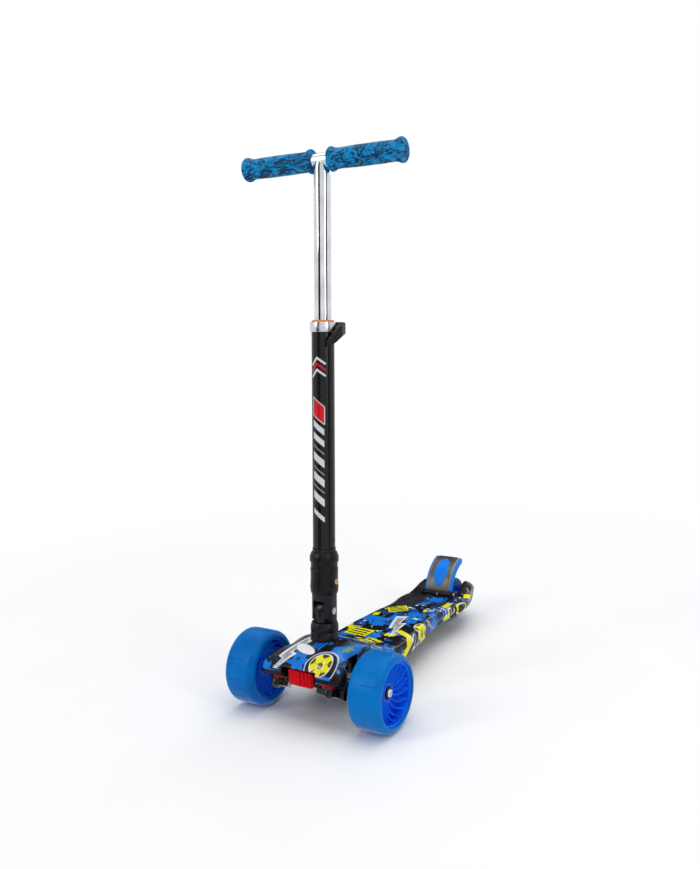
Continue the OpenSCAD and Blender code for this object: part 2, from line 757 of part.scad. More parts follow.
// Wheel core: rim, thin web, hub and swept blades
module wheel_core(side) {
    rim_r = core_d / 2;
    color("mediumblue") front_axle(side) translate([wheel_x, 0, 0]) difference() {
        union() {
            rotate([0, 90, 0]) translate([0, 0, -24]) ring(rim_r, rim_r - 3.5, 48);
            rod_x(rim_r - 1, -1.5, 1.5);
            rod_x(16, -hub_half, hub_half);
            for (k = [0:blades - 1]) rotate([360 * k / blades, 0, 0]) translate([0, 6, 0]) rotate([90, 0, 0])
                linear_extrude(2.2) polygon([[-hub_half, 13], [-21, rim_r - 3], [21, rim_r - 3],
                    [hub_half, 13]]);
        }
        for (x0 = [-hub_half - 1, hub_half - 7]) rod_x(11, x0, x0 + 8);
        rod_x(9, -20, 20);
    }
}

module wheel_core_left() wheel_core(1);
module wheel_core_right() wheel_core(-1);

module bearings(side) {
    color("silver") front_axle(side) translate([wheel_x, 0, 0]) for (x0 = [-hub_half, hub_half - 7])
        translate([x0, 0, 0]) rotate([0, 90, 0]) ring(11, axle_r + slip, 7);
}

module bearings_left() bearings(1);
module bearings_right() bearings(-1);

module bearing_spacer(side) {
    color("silver") front_axle(side) translate([wheel_x - 5, 0, 0]) rotate([0, 90, 0]) ring(6, axle_r +
        slip, 10);
}

module bearing_spacer_left() bearing_spacer(1);
module bearing_spacer_right() bearing_spacer(-1);

// ---- Rear wheel ----

module rear_tyre() {
    color("mediumblue") rear_axle_line() rotate([0, 90, 0]) rotate_extrude()
        tyre_profile(rear_d / 2, rear_w / 2, 28, 6);
}

module rear_wheel_core() {
    color("mediumblue") rear_axle_line() difference() {
        union() {
            rotate([0, 90, 0]) translate([0, 0, -18]) ring(28, 25, 36);
            rod_x(14, -rear_w / 2, rear_w / 2);
            rod_x(26, -2, 2);
            for (a = [0:60:300]) rotate([a, 0, 0]) block([-14, -1.5, 12], [14, 1.5, 26]);
        }
        for (x0 = [-rear_w / 2 - 1, rear_w / 2 - 7]) rod_x(11, x0, x0 + 8);
        rod_x(9, -30, 30);
    }
}

module rear_bearings() {
    color("silver") rear_axle_line() for (x0 = [-rear_w / 2, rear_w / 2 - 7])
        translate([x0, 0, 0]) rotate([0, 90, 0]) ring(11, axle_r + slip, 7);
}

deck_shell();
bottom_cover();
front_frame();
rear_fork();
stem_socket();
lower_knuckle();
grip_pad();
cover_screws();
kingpins();
kingpin_springs();
brake_pin();
brake_spring();
rear_axle();
rear_axle_nut();
rear_spacers();
outer_tube();
upper_knuckle();
knuckle_screws();
fold_pivot_bolt();
fold_pivot_nut();
guide_bush();
clamp_collar();
clamp_bolt();
clamp_nut();
lever_dowel();
fold_sleeve();
sleeve_screw();
lock_plunger();
lock_spring();
t_bar();
grip_left();
grip_right();
tube_plug();
clamp_lever();
knuckle_left();
knuckle_right();
axle_left();
axle_right();
axle_nut_left();
axle_nut_right();
link_pin_left();
link_pin_right();
steering_link();
wheel_core_left();
wheel_core_right();
tyre_left();
tyre_right();
bearings_left();
bearings_right();
bearing_spacer_left();
bearing_spacer_right();
rear_wheel_core();
rear_tyre();
rear_bearings();
brake_fender();
brake_cover();
brake_insert();
brake_pad();
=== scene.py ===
"""Folding kick scooter: the looks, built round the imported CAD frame.

Shapes are worked out in millimetres in scooter coordinates (X to the rider's left, Y backwards
from the front axle, Z up from the ground) and put into the frame by the matrices below.
"""

import math

import bmesh
import bpy
import numpy as np
from mathutils import Matrix, Vector
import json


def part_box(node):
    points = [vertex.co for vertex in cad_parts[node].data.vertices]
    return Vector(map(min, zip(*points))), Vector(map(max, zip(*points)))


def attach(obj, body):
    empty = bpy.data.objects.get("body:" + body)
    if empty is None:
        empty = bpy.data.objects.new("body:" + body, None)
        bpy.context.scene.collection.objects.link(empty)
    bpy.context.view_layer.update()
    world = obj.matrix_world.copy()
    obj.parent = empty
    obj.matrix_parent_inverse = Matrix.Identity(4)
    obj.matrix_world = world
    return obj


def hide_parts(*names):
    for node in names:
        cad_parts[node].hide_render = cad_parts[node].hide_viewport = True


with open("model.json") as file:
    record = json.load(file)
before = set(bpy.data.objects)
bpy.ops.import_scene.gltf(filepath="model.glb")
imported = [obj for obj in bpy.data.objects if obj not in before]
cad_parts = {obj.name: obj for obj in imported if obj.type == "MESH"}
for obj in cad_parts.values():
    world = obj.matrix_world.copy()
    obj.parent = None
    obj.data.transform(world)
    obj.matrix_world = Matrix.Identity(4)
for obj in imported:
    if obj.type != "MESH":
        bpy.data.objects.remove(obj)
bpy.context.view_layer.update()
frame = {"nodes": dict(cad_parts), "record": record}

MM = 0.001
SCOOTER = Matrix.Translation((0, sum(v.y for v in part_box("tyre_left")) / 2 / MM, 0))
WHEEL_R, TYRE_HALF, CORE_R, WHEEL_X = 60, 28, 48.5, 113
REAR_R, REAR_HALF, REAR_Y, REAR_Z = 40, 20, 470, 40
ARC_Y, ARC_Z, FENDER_R, FENDER_HALF = 497.5, 48, 71, 27.5
TUBE_R, SLIDER_R, TUBE_LOW, TUBE_TOP, BAR_S = 17.5, 12.75, 262, 611, 853


def turn(degrees, axis):
    return Matrix.Rotation(math.radians(degrees), 4, axis)


def shift(x, y, z):
    return Matrix.Translation((x, y, z))


STEM = SCOOTER @ shift(0, 14.5, 0) @ turn(-5, "X")
ALONG_X = turn(90, "Y")
HUB = SCOOTER @ shift(WHEEL_X, 0, WHEEL_R) @ ALONG_X
REAR_HUB = SCOOTER @ shift(0, REAR_Y, REAR_Z) @ ALONG_X
BAR = STEM @ shift(0, 0, BAR_S) @ ALONG_X
MIRROR = Matrix.Diagonal((-1, 1, 1, 1))


# ---- Colours and materials ----

def rgb(code):
    """Linear colour from a hex code."""
    parts = [int(code[i:i + 2], 16) / 255 for i in (0, 2, 4)]
    return tuple(p / 12.92 if p <= 0.04045 else ((p + 0.055) / 1.055) ** 2.4 for p in parts)


class Nodes:
    """Short way to write a node tree."""

    def __init__(self, name):
        self.material = bpy.data.materials.new(name)
        self.material.use_nodes = True
        self.tree = self.material.node_tree
        self.shader = self.tree.nodes["Principled BSDF"]
        self.place = self.add("ShaderNodeTexCoord").outputs["Object"]

    def add(self, kind, **settings):
        node = self.tree.nodes.new(kind)
        for key, value in settings.items():
            setattr(node, key, value)
        return node

    def link(self, a, b):
        self.tree.links.new(a, b)

    def stretched(self, scale):
        node = self.add("ShaderNodeMapping")
        node.inputs["Scale"].default_value = scale
        self.link(self.place, node.inputs["Vector"])
        return node.outputs["Vector"]

    def noise(self, scale, detail=3.0, rough=0.55, place=None, distortion=0.0):
        node = self.add("ShaderNodeTexNoise")
        node.inputs["Scale"].default_value = scale
        node.inputs["Detail"].default_value = detail
        node.inputs["Roughness"].default_value = rough
        node.inputs["Distortion"].default_value = distortion
        self.link(place or self.place, node.inputs["Vector"])
        return node.outputs["Fac"]

    def ramp(self, factor, stops):
        node = self.add("ShaderNodeValToRGB")
        while len(node.color_ramp.elements) < len(stops):
            node.color_ramp.elements.new(0.5)
        for element, (at, colour) in zip(node.color_ramp.elements, stops):
            element.position = at
            element.color = (*colour, 1)
        self.link(factor, node.inputs["Fac"])
        return node.outputs["Color"]

    def remap(self, factor, low, high, start=0.0, end=1.0):
        node = self.add("ShaderNodeMapRange")
        for key, value in (("From Min", start), ("From Max", end), ("To Min", low), ("To Max", high)):
            node.inputs[key].default_value = value
        self.link(factor, node.inputs["Value"])
        return node.outputs["Result"]

    def mix(self, factor, a, b, blend="MIX"):
        node = self.add("ShaderNodeMix", data_type="RGBA", blend_type=blend)
        for socket, value in ((node.inputs[0], factor), (node.inputs[6], a), (node.inputs[7], b)):
            if isinstance(value, (int, float)):
                socket.default_value = value
            elif isinstance(value, tuple):
                socket.default_value = (*value, 1)
            else:
                self.link(value, socket)
        return node.outputs[2]

    def bump(self, heights):
        """heights: (factor, strength, distance in metres), one on top of the other."""
        normal = None
        for factor, strength, distance in heights:
            node = self.add("ShaderNodeBump")
            node.inputs["Strength"].default_value = strength
            node.inputs["Distance"].default_value = distance
            self.link(factor, node.inputs["Height"])
            if normal:
                self.link(normal, node.inputs["Normal"])
            normal = node.outputs["Normal"]
        self.link(normal, self.shader.inputs["Normal"])

    def set(self, **values):
        for key, value in values.items():
            self.shader.inputs[key.replace("_", " ")].default_value = value


def surface(name, colour, second, rough, grain=(900, 0.15), mottle=45, spread=0.08, edge=None, scratch=0.0,
            paint=None, wave=0.1, **settings):
    """A moulded, cast or machined surface: mottled colour, uneven gloss, fine grain, wear on edges."""
    n = Nodes(name)
    a, b = rgb(colour), rgb(second)
    base = n.ramp(n.noise(mottle, 5), [(0.3, a), (0.7, b)])
    if paint:
        printed = n.add("ShaderNodeAttribute", attribute_name=paint).outputs["Color"]
        uneven = n.ramp(n.noise(mottle, 5), [(0.3, (0.86,) * 3), (0.7, (1.0,) * 3)])
        base = n.mix(1.0, printed, uneven, "MULTIPLY")
    speck = n.ramp(n.noise(2600, 2), [(0.62, (0, 0, 0)), (0.75, (1, 1, 1))])
    base = n.mix(n.remap(speck, 0, 0.12), base, tuple(min(1.0, 2.2 * c + 0.02) for c in b))
    if edge:
        point = n.add("ShaderNodeNewGeometry").outputs["Pointiness"]
        worn = n.ramp(point, [(0.515, (0, 0, 0)), (0.56, (1, 1, 1))])
        base = n.mix(n.remap(worn, 0, 0.6), base, rgb(edge))
    n.link(base, n.shader.inputs["Base Color"])
    streaks = n.noise(160, 4, place=n.stretched((1, 1, 9)))
    gloss = n.remap(streaks, max(0.02, rough - spread), rough + spread, 0.3, 0.7)
    n.link(gloss, n.shader.inputs["Roughness"])
    heights = [(n.noise(grain[0], 4), grain[1], 0.0002), (n.noise(70, 3), wave, 0.0006)]
    if scratch:
        lines = n.ramp(n.noise(420, 2, place=n.stretched((1, 1, 0.06)), distortion=0.6),
                       [(0.64, (0, 0, 0)), (0.68, (1, 1, 1))])
        heights.append((lines, scratch, 0.0001))
    n.bump(heights)
    n.set(**settings)
    return n.material


BLACK = surface("black_plastic", "08080a", "131417", 0.4, (1500, 0.22), edge="2a2c30",
                Specular_IOR_Level=0.15)
CAST = surface("black_casting", "050506", "0c0d10", 0.22, (520, 0.16), edge="202226",
               Specular_IOR_Level=0.3)
SATIN = surface("satin_black_metal", "060608", "101114", 0.32, (1900, 0.2), edge="2a2c31",
                Specular_IOR_Level=0.2)
ROUGH_BLACK = surface("frame_black", "070709", "111113", 0.5, (700, 0.35), edge="222427",
                      Specular_IOR_Level=0.15)
CHROME = surface("chrome", "d2d5da", "eef0f3", 0.07, (900, 0.01), spread=0.03, scratch=0.03, wave=0.01,
                 Metallic=1.0)
POLISHED = surface("polished_alloy", "c4c8ce", "e8eaee", 0.24, (1400, 0.08), scratch=0.12, Metallic=1.0)
STEEL = surface("zinc_steel", "8e9196", "c3c6ca", 0.3, (800, 0.12), scratch=0.1, Metallic=1.0)
DARK_STEEL = surface("dark_steel", "1c1d20", "3c3e42", 0.34, (900, 0.15), scratch=0.1, Metallic=1.0)
BRASS = surface("brass", "9a7442", "d9b27a", 0.28, (900, 0.12), scratch=0.1, Metallic=1.0)
ORANGE = surface("orange_bush", "d06414", "f08c30", 0.42, (1300, 0.2))
RED = surface("red_link", "b40008", "dc0410", 0.34, (1100, 0.16), edge="e82430", Specular_IOR_Level=0.06)
CORE = surface("core_blue", "0050e0", "0070fa", 0.34, (1300, 0.14), edge="2a8cff", Specular_IOR_Level=0.15)
FENDER = surface("fender_blue", "0070d8", "0084f4", 0.36, (1300, 0.2), edge="2c9cfa",
                 Specular_IOR_Level=0.12)
PLATE = surface("brake_plate", "39352f", "6c665c", 0.36, (1700, 0.3), mottle=30, edge="a09a90", Metallic=0.45)
REAR_BLUE = surface("rear_tyre_blue", "00407c", "005a9e", 0.4, (1100, 0.2), edge="0a78c8",
                    Specular_IOR_Level=0.12)
PRINT = surface("printed_shell", "ffffff", "ffffff", 0.28, (1200, 0.16), paint="print",
                Specular_IOR_Level=0.14)
TUBE = surface("lacquered_tube", "ffffff", "ffffff", 0.22, (1500, 0.1), paint="print", scratch=0.04,
               Specular_IOR_Level=0.3)


def tyre_material():
    """Cloudy blue polyurethane: milky in broad patches, glossy, with a few bubbles and mould marks."""
    n = Nodes("tyre_blue")
    cloud = n.ramp(n.noise(26, 4), [(0.3, rgb("0058a4")), (0.72, rgb("0074c6"))])
    milk = n.noise(9, 2, place=n.stretched((1, 1, 0.4)))
    base = n.mix(n.remap(milk, 0.0, 0.45, 0.35, 0.7), cloud, rgb("0082d4"))
    cells = n.add("ShaderNodeTexVoronoi")
    cells.inputs["Scale"].default_value = 85
    n.link(n.place, cells.inputs["Vector"])
    bubbles = n.ramp(cells.outputs["Distance"], [(0.045, (1, 1, 1)), (0.075, (0, 0, 0))])
    base = n.mix(n.remap(bubbles, 0, 0.55), base, rgb("58b4f0"))
    n.link(base, n.shader.inputs["Base Color"])
    n.link(n.remap(n.noise(140, 4), 0.2, 0.42, 0.3, 0.7), n.shader.inputs["Roughness"])
    n.bump([(n.noise(1300, 3), 0.1, 0.0002), (n.noise(45, 3), 0.2, 0.0008)])
    n.set(Specular_IOR_Level=0.07)
    return n.material


def grip_material():
    """Blue rubber with dark marbled bands, moulded in one."""
    n = Nodes("grip_rubber")
    swirl = n.noise(46, 4, 0.6, place=n.stretched((0.55, 0.55, 1.5)), distortion=2.6)
    ink = n.ramp(swirl, [(0.40, (0, 0, 0)), (0.43, (1, 1, 1)), (0.50, (1, 1, 1)), (0.53, (0, 0, 0))])
    veins = n.ramp(n.noise(120, 3, 0.6, distortion=1.6),
                   [(0.47, (0, 0, 0)), (0.50, (1, 1, 1)), (0.53, (0, 0, 0))])
    blue = n.ramp(n.noise(60, 4), [(0.3, rgb("007cb8")), (0.7, rgb("0498d8"))])
    dark = n.mix(n.noise(150, 3), rgb("03254a"), rgb("04101e"))
    base = n.mix(n.remap(ink, 0, 0.92), n.mix(n.remap(veins, 0, 0.6), blue, dark), dark)
    n.link(base, n.shader.inputs["Base Color"])
    n.link(n.remap(n.noise(300, 4), 0.42, 0.6, 0.3, 0.7), n.shader.inputs["Roughness"])
    n.bump([(n.noise(1500, 4), 0.3, 0.0003), (n.noise(120, 2), 0.12, 0.0006)])
    n.set(Specular_IOR_Level=0.15)
    return n.material


TYRE = tyre_material()
GRIP = grip_material()


# ---- Mesh helpers ----

def grid(points, wrap_rows=False, wrap_cols=False):
    """Quads over an array of points (rows, columns, 3)."""
    rows, cols = points.shape[:2]
    i, j = np.meshgrid(np.arange(rows if wrap_rows else rows - 1), np.arange(cols if wrap_cols else cols - 1),
                       indexing="ij")
    i2, j2 = (i + 1) % rows, (j + 1) % cols
    quads = np.stack([i * cols + j, i2 * cols + j, i2 * cols + j2, i * cols + j2], -1).reshape(-1, 4)
    return points.reshape(-1, 3), quads.tolist()


def capped(points):
    """Quads over rings of points, closed by a face on the first and the last ring."""
    verts, faces = grid(points, wrap_cols=True)
    cols = points.shape[1]
    faces.append(list(range(cols))[::-1])
    faces.append(list(range(len(verts) - cols, len(verts))))
    return verts, faces


def joined(*shells):
    verts, faces, start = [], [], 0
    for v, f in shells:
        verts.append(v)
        faces += [[start + k for k in face] for face in f]
        start += len(v)
    return np.concatenate(verts), faces


def moved(shell, matrix):
    m = np.array(matrix)
    return shell[0] @ m[:3, :3].T + m[:3, 3], shell[1]


def rounded(points, radius, steps=4, closed=True):
    """The outline with its corners rounded; a point may give its own radius as a third number."""
    out, count = [], len(points)
    for k, point in enumerate(points):
        p = np.array(point[:2], float)
        r = point[2] if len(point) > 2 else radius
        if r == 0 or (not closed and k in (0, count - 1)):
            out.append(p)
            continue
        arms = [np.array(points[(k + d) % count][:2], float) - p for d in (-1, 1)]
        ends = [p + a / np.linalg.norm(a) * min(r, 0.48 * np.linalg.norm(a)) for a in arms]
        for t in np.linspace(0, 1, steps + 1):
            out.append((1 - t) ** 2 * ends[0] + 2 * t * (1 - t) * p + t * t * ends[1])
    return np.array(out)


def turned(profile, segments=96, closed=False, shape=None):
    """Turns (radius, height) points round Z. shape(radius, angle, index) may change a radius."""
    a = np.linspace(0, 2 * math.pi, segments, endpoint=False)
    profile = np.asarray(profile, float)
    r = np.repeat(profile[:, :1], segments, 1)
    if shape:
        r = shape(r, a[None, :])
    points = np.stack([r * np.cos(a), r * np.sin(a), np.repeat(profile[:, 1:2], segments, 1)], -1)
    return grid(points, wrap_rows=True, wrap_cols=True) if closed else capped(points)


def rod(r, z0, z1, edge=0.5, segments=64):
    return turned(rounded([(0.01, z0, 0), (r, z0), (r, z1), (0.01, z1, 0)], edge, 3, closed=False), segments)


def slab(outline, z0, z1, edge=0.6, steps=3):
    """A flat plate from a closed outline, with rounded edges."""
    outline = np.asarray(outline, float)
    after, before = np.roll(outline, -1, 0), np.roll(outline, 1, 0)
    along = after - before
    normal = np.stack([along[:, 1], -along[:, 0]], -1)
    normal /= np.linalg.norm(normal, axis=1)[:, None]
    area = np.sum(outline[:, 0] * after[:, 1] - after[:, 0] * outline[:, 1])
    normal *= 1 if area > 0 else -1
    rings = []
    for low, sign in ((z0, 1), (z1, -1)):
        for t in np.linspace(0, 90, steps + 1)[:: sign]:
            t = math.radians(t)
            inset = edge * (1 - math.sin(t))
            z = low + sign * edge * (1 - math.cos(t))
            rings.append(np.column_stack([outline - normal * inset, np.full(len(outline), z)]))
    return capped(np.array(rings))


def piece(name, shell, matrix, material, body, replaces=(), mirror=False, smooth=35, slots=()):
    """A Blender piece from a shell in millimetres."""
    m = (MIRROR if mirror else Matrix.Identity(4)) @ matrix
    verts, faces = moved(shell, m)
    mesh = bpy.data.meshes.new(name)
    mesh.from_pydata((verts * MM).tolist(), [], faces)
    return finished(name, mesh, material, body, replaces, smooth, slots)


def finished(name, mesh, material, body, replaces=(), smooth=35, slots=()):
    bm = bmesh.new()
    bm.from_mesh(mesh)
    bmesh.ops.remove_doubles(bm, verts=bm.verts, dist=2e-6)
    bmesh.ops.recalc_face_normals(bm, faces=bm.faces)
    bm.to_mesh(mesh)
    bm.free()
    mesh.polygons.foreach_set("use_smooth", [True] * len(mesh.polygons))
    mesh.set_sharp_from_angle(angle=math.radians(smooth))
    obj = bpy.data.objects.new(name, mesh)
    bpy.context.scene.collection.objects.link(obj)
    for item in (material, *slots):
        mesh.materials.append(item)
    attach(obj, body)
    if replaces:
        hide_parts(*replaces)
    return obj


def cad_mesh(node):
    """The CAD node's mesh, welded, with the flat triangles merged."""
    mesh = bpy.data.meshes.new("from_" + node)
    bm = bmesh.new()
    bm.from_mesh(frame["nodes"][node].data)
    bmesh.ops.remove_doubles(bm, verts=bm.verts, dist=4e-6)
    bmesh.ops.dissolve_limit(bm, angle_limit=math.radians(0.6), verts=bm.verts, edges=bm.edges)
    bm.to_mesh(mesh)
    bm.free()
    return mesh


def baked(obj):
    """The object's mesh with its modifiers applied; the object goes."""
    bpy.context.view_layer.update()
    mesh = bpy.data.meshes.new_from_object(obj.evaluated_get(bpy.context.evaluated_depsgraph_get()))
    bpy.data.objects.remove(obj)
    return mesh


def blank(node):
    """An object with a CAD node's mesh, for modifiers to work on."""
    obj = bpy.data.objects.new("blank_" + node, cad_mesh(node))
    bpy.context.scene.collection.objects.link(obj)
    return obj


def stand_in(node, obj, material, smooth):
    """The piece that takes the place of a CAD node and rides on its body."""
    body = next(b for b, nodes in frame["record"]["behaviour"]["bodies"].items() if node in nodes)
    return finished(node + "_look", baked(obj), material, body, (node,), smooth)


def softened(node, material, width, angle=32):
    """A piece that stands for a CAD node, with its sharp edges rounded."""
    obj = blank(node)
    bevel = obj.modifiers.new("edges", "BEVEL")
    bevel.width = width * MM
    bevel.segments = 2
    bevel.limit_method = "ANGLE"
    bevel.angle_limit = math.radians(angle)
    bevel.miter_outer = "MITER_ARC"
    return stand_in(node, obj, material, 50)


def melted(node, material, voxel, smoothing):
    """A piece that stands for a CAD node, with all its corners flowing as in a casting."""
    obj = blank(node)
    remesh = obj.modifiers.new("voxels", "REMESH")
    remesh.mode = "VOXEL"
    remesh.voxel_size = voxel * MM
    smooth = obj.modifiers.new("smooth", "SMOOTH")
    smooth.factor = 0.5
    smooth.iterations = smoothing
    return stand_in(node, obj, material, 180)


def places(mesh, matrix):
    """The mesh's points in the coordinates of a matrix, in millimetres."""
    co = np.zeros(len(mesh.vertices) * 3)
    mesh.vertices.foreach_get("co", co)
    back = np.array(matrix.inverted())
    return (co.reshape(-1, 3) / MM) @ back[:3, :3].T + back[:3, 3]


def painted(mesh, colours):
    layer = mesh.color_attributes.new("print", "FLOAT_COLOR", "POINT")
    layer.data.foreach_set("color", np.column_stack([colours, np.ones(len(colours))]).ravel())


# ---- Print: colour worked out point by point ----

def value_noise(x, y, size, seed):
    """Smooth noise between 0 and 1 on a lattice of that size."""
    x, y = np.asarray(x, float) / size, np.asarray(y, float) / size
    ix, iy = np.floor(x).astype(np.int64), np.floor(y).astype(np.int64)
    fx, fy = x - ix, y - iy
    fx, fy = fx * fx * (3 - 2 * fx), fy * fy * (3 - 2 * fy)

    def corner(i, j):
        h = (i * 374761393 + j * 668265263 + seed * 1442695041) & 0xFFFFFFFF
        h = ((h ^ (h >> 13)) * 1274126177) & 0xFFFFFFFF
        return ((h ^ (h >> 16)) & 0xFFFF) / 65535

    top = corner(ix, iy) * (1 - fx) + corner(ix + 1, iy) * fx
    low = corner(ix, iy + 1) * (1 - fx) + corner(ix + 1, iy + 1) * fx
    return top * (1 - fy) + low * fy


def cloud(x, y, size, seed):
    return sum(value_noise(x, y, size / 2 ** k, seed + k) / 2 ** k for k in range(3)) / 1.75


def outside(polygon, x, y):
    """Distance to a closed outline, negative inside it."""
    best = np.full(x.shape, 1e9)
    inside = np.zeros(x.shape, bool)
    for (x0, y0), (x1, y1) in zip(polygon, polygon[1:] + polygon[:1]):
        dx, dy = x1 - x0, y1 - y0
        t = np.clip(((x - x0) * dx + (y - y0) * dy) / (dx * dx + dy * dy), 0, 1)
        best = np.minimum(best, np.hypot(x - x0 - t * dx, y - y0 - t * dy))
        if y0 != y1:
            inside ^= ((y0 > y) != (y1 > y)) & (x < x0 + (y - y0) * dx / dy)
    return np.where(inside, -best, best)


def along(path, x, y):
    """Distance to an open line."""
    best = np.full(x.shape, 1e9)
    for (x0, y0), (x1, y1) in zip(path, path[1:]):
        dx, dy = x1 - x0, y1 - y0
        t = np.clip(((x - x0) * dx + (y - y0) * dy) / (dx * dx + dy * dy), 0, 1)
        best = np.minimum(best, np.hypot(x - x0 - t * dx, y - y0 - t * dy))
    return best


class Film:
    """A printed film: layers of ink laid over one another."""

    def __init__(self, x, y, colour):
        self.x, self.y = x, y
        self.ink = np.tile(np.array(rgb(colour)), (len(x), 1))

    def lay(self, mask, colour):
        m = np.clip(mask, 0, 1)[:, None]
        self.ink = self.ink * (1 - m) + np.array(rgb(colour)) * m

    def shape(self, polygon, colour, rim=None, rim_width=1.6, soft=0.7, ragged=0.0, where=1.0, seed=3):
        d = outside(polygon, self.x, self.y)
        if ragged:
            d = d + ragged * (cloud(self.x, self.y, 7, seed) - 0.5) * 2
        if rim:
            self.lay(np.clip((rim_width - d) / soft, 0, 1) * where, rim)
        self.lay(np.clip(-d / soft, 0, 1) * where, colour)
        return np.clip(-d / soft, 0, 1) * where

    def stroke(self, path, colour, width=1.4, soft=0.6, ragged=0.0, where=1.0):
        d = along(path, self.x, self.y)
        if ragged:
            d = d + ragged * (cloud(self.x, self.y, 5, 11) - 0.5) * 2
        self.lay(np.clip((width / 2 - d) / soft + 0.5, 0, 1) * where, colour)

    def splash(self, size, seed, low, colour, where=1.0, high=None):
        """Blobs where the cloud is between low and high."""
        c = cloud(self.x, self.y, size, seed)
        mask = np.clip((c - low) / 0.02, 0, 1)
        if high:
            mask = mask * np.clip((high - c) / 0.02, 0, 1)
        self.lay(mask * where, colour)


YELLOW, WHITE, BLUE, INK = "f0e800", "eceef2", "0078dc", "0e0f12"
# Outlines of half size 1
BOLT = [(-0.2, 1), (0.5, 1), (0.1, 0.25), (0.55, 0.3), (-0.3, -1), (-0.05, -0.1), (-0.5, -0.15)]
TILE = [(-1, -1), (1, -0.8), (1, 1), (-1, 0.8)]
STAR = [(r * math.cos(a), r * math.sin(a)) for r, a in
        ((0.55 if k % 2 else 1.0, math.pi * k / 6) for k in range(12))]
DISC = [(math.cos(a), math.sin(a)) for a in np.linspace(0, 2 * math.pi, 24, endpoint=False)]


def motif(film, outline, x, y, wide, long, lean, colour, rim=None, rim_width=1.4, where=1.0, ragged=0.0):
    """One plain figure: an outline of half size 1, stretched, leant over and put at x, y."""
    c, s = math.cos(math.radians(lean)), math.sin(math.radians(lean))
    placed = [(x + u * wide * c - v * long * s, y + u * wide * s + v * long * c) for u, v in outline]
    return film.shape(placed, colour, rim, rim_width, ragged=ragged, where=where)


def ball(film, x, y, r, where=1.0):
    """A yellow ball with dark five-sided patches."""
    inside = motif(film, DISC, x, y, r, r, 0, YELLOW, WHITE, where=where)
    five = [(math.cos(a), math.sin(a)) for a in (math.radians(72 * k) for k in range(5))]
    motif(film, five, x, y, 0.34 * r, 0.34 * r, 18, INK, where=inside)
    for k in range(5):
        a = math.radians(72 * k + 18)
        px, py = x + 0.95 * r * math.cos(a), y + 0.95 * r * math.sin(a)
        motif(film, five, px, py, 0.36 * r, 0.36 * r, 72 * k + 54, INK, where=inside)
        film.stroke([(x, y), (px, py)], "a8a418", 0.7, where=inside)


def barred(film, x, y, wide, long, lean, bars, where=1.0):
    """A yellow tile with plain dark bars across it."""
    inside = motif(film, TILE, x, y, wide, long, lean, YELLOW, INK, where=where)
    c, s = math.cos(math.radians(lean)), math.sin(math.radians(lean))
    for k in range(bars):
        v = 0.75 * long * (2 * (k + 0.5) / bars - 1)
        ends = [(x + u * wide * c - v * s, y + u * wide * s + v * c) for u in (-0.7, 0.7)]
        film.stroke(ends, INK, 0.7 * long / bars, where=inside)


def hatched_bolt(film, x, y, wide, long, lean, where=1.0):
    """A pale zigzag with a hatched middle and a white edge."""
    inside = motif(film, BOLT, x, y, wide, long, lean, WHITE, WHITE, where=where)
    wavy = np.sin(2.6 * (film.x + 0.35 * film.y) + 5 * cloud(film.x, film.y, 5, 5))
    hatch = np.clip((wavy + 0.1) * 3, 0, 1)
    core = motif(film, BOLT, x, y, 0.72 * wide, 0.84 * long, lean, "c4c6ca", where=inside)
    film.lay(core * hatch * 0.85, "4c4e52")


def scribble(film, x, y, step, turns, colour, width, where=1.0):
    """A line that goes to and fro."""
    path = [(x + step * (k % 2) + 0.5 * step * k, y + step * (k // 2 - 0.6 * (k % 2)))
            for k in range(turns)]
    film.stroke(path, colour, width, where=where, ragged=0.8)


def splashed(film, seed):
    """The all-over pattern: dark ground, blue and yellow splashes, white scratches and outlines."""
    film.splash(40, seed, 0.55, BLUE)
    film.splash(40, seed, 0.543, "062048", high=0.553)
    film.splash(17, seed + 1, 0.53, INK)
    film.splash(12, seed + 3, 0.66, "0a4ea8")
    film.splash(8, seed + 31, 0.72, "3c98ee")
    film.splash(30, seed + 9, 0.72, YELLOW)
    film.splash(30, seed + 9, 0.708, INK, high=0.722)
    film.splash(22, seed + 13, 0.494, WHITE, high=0.4995)
    film.splash(11, seed + 17, 0.79, WHITE)
    film.splash(8, seed + 21, 0.83, YELLOW)


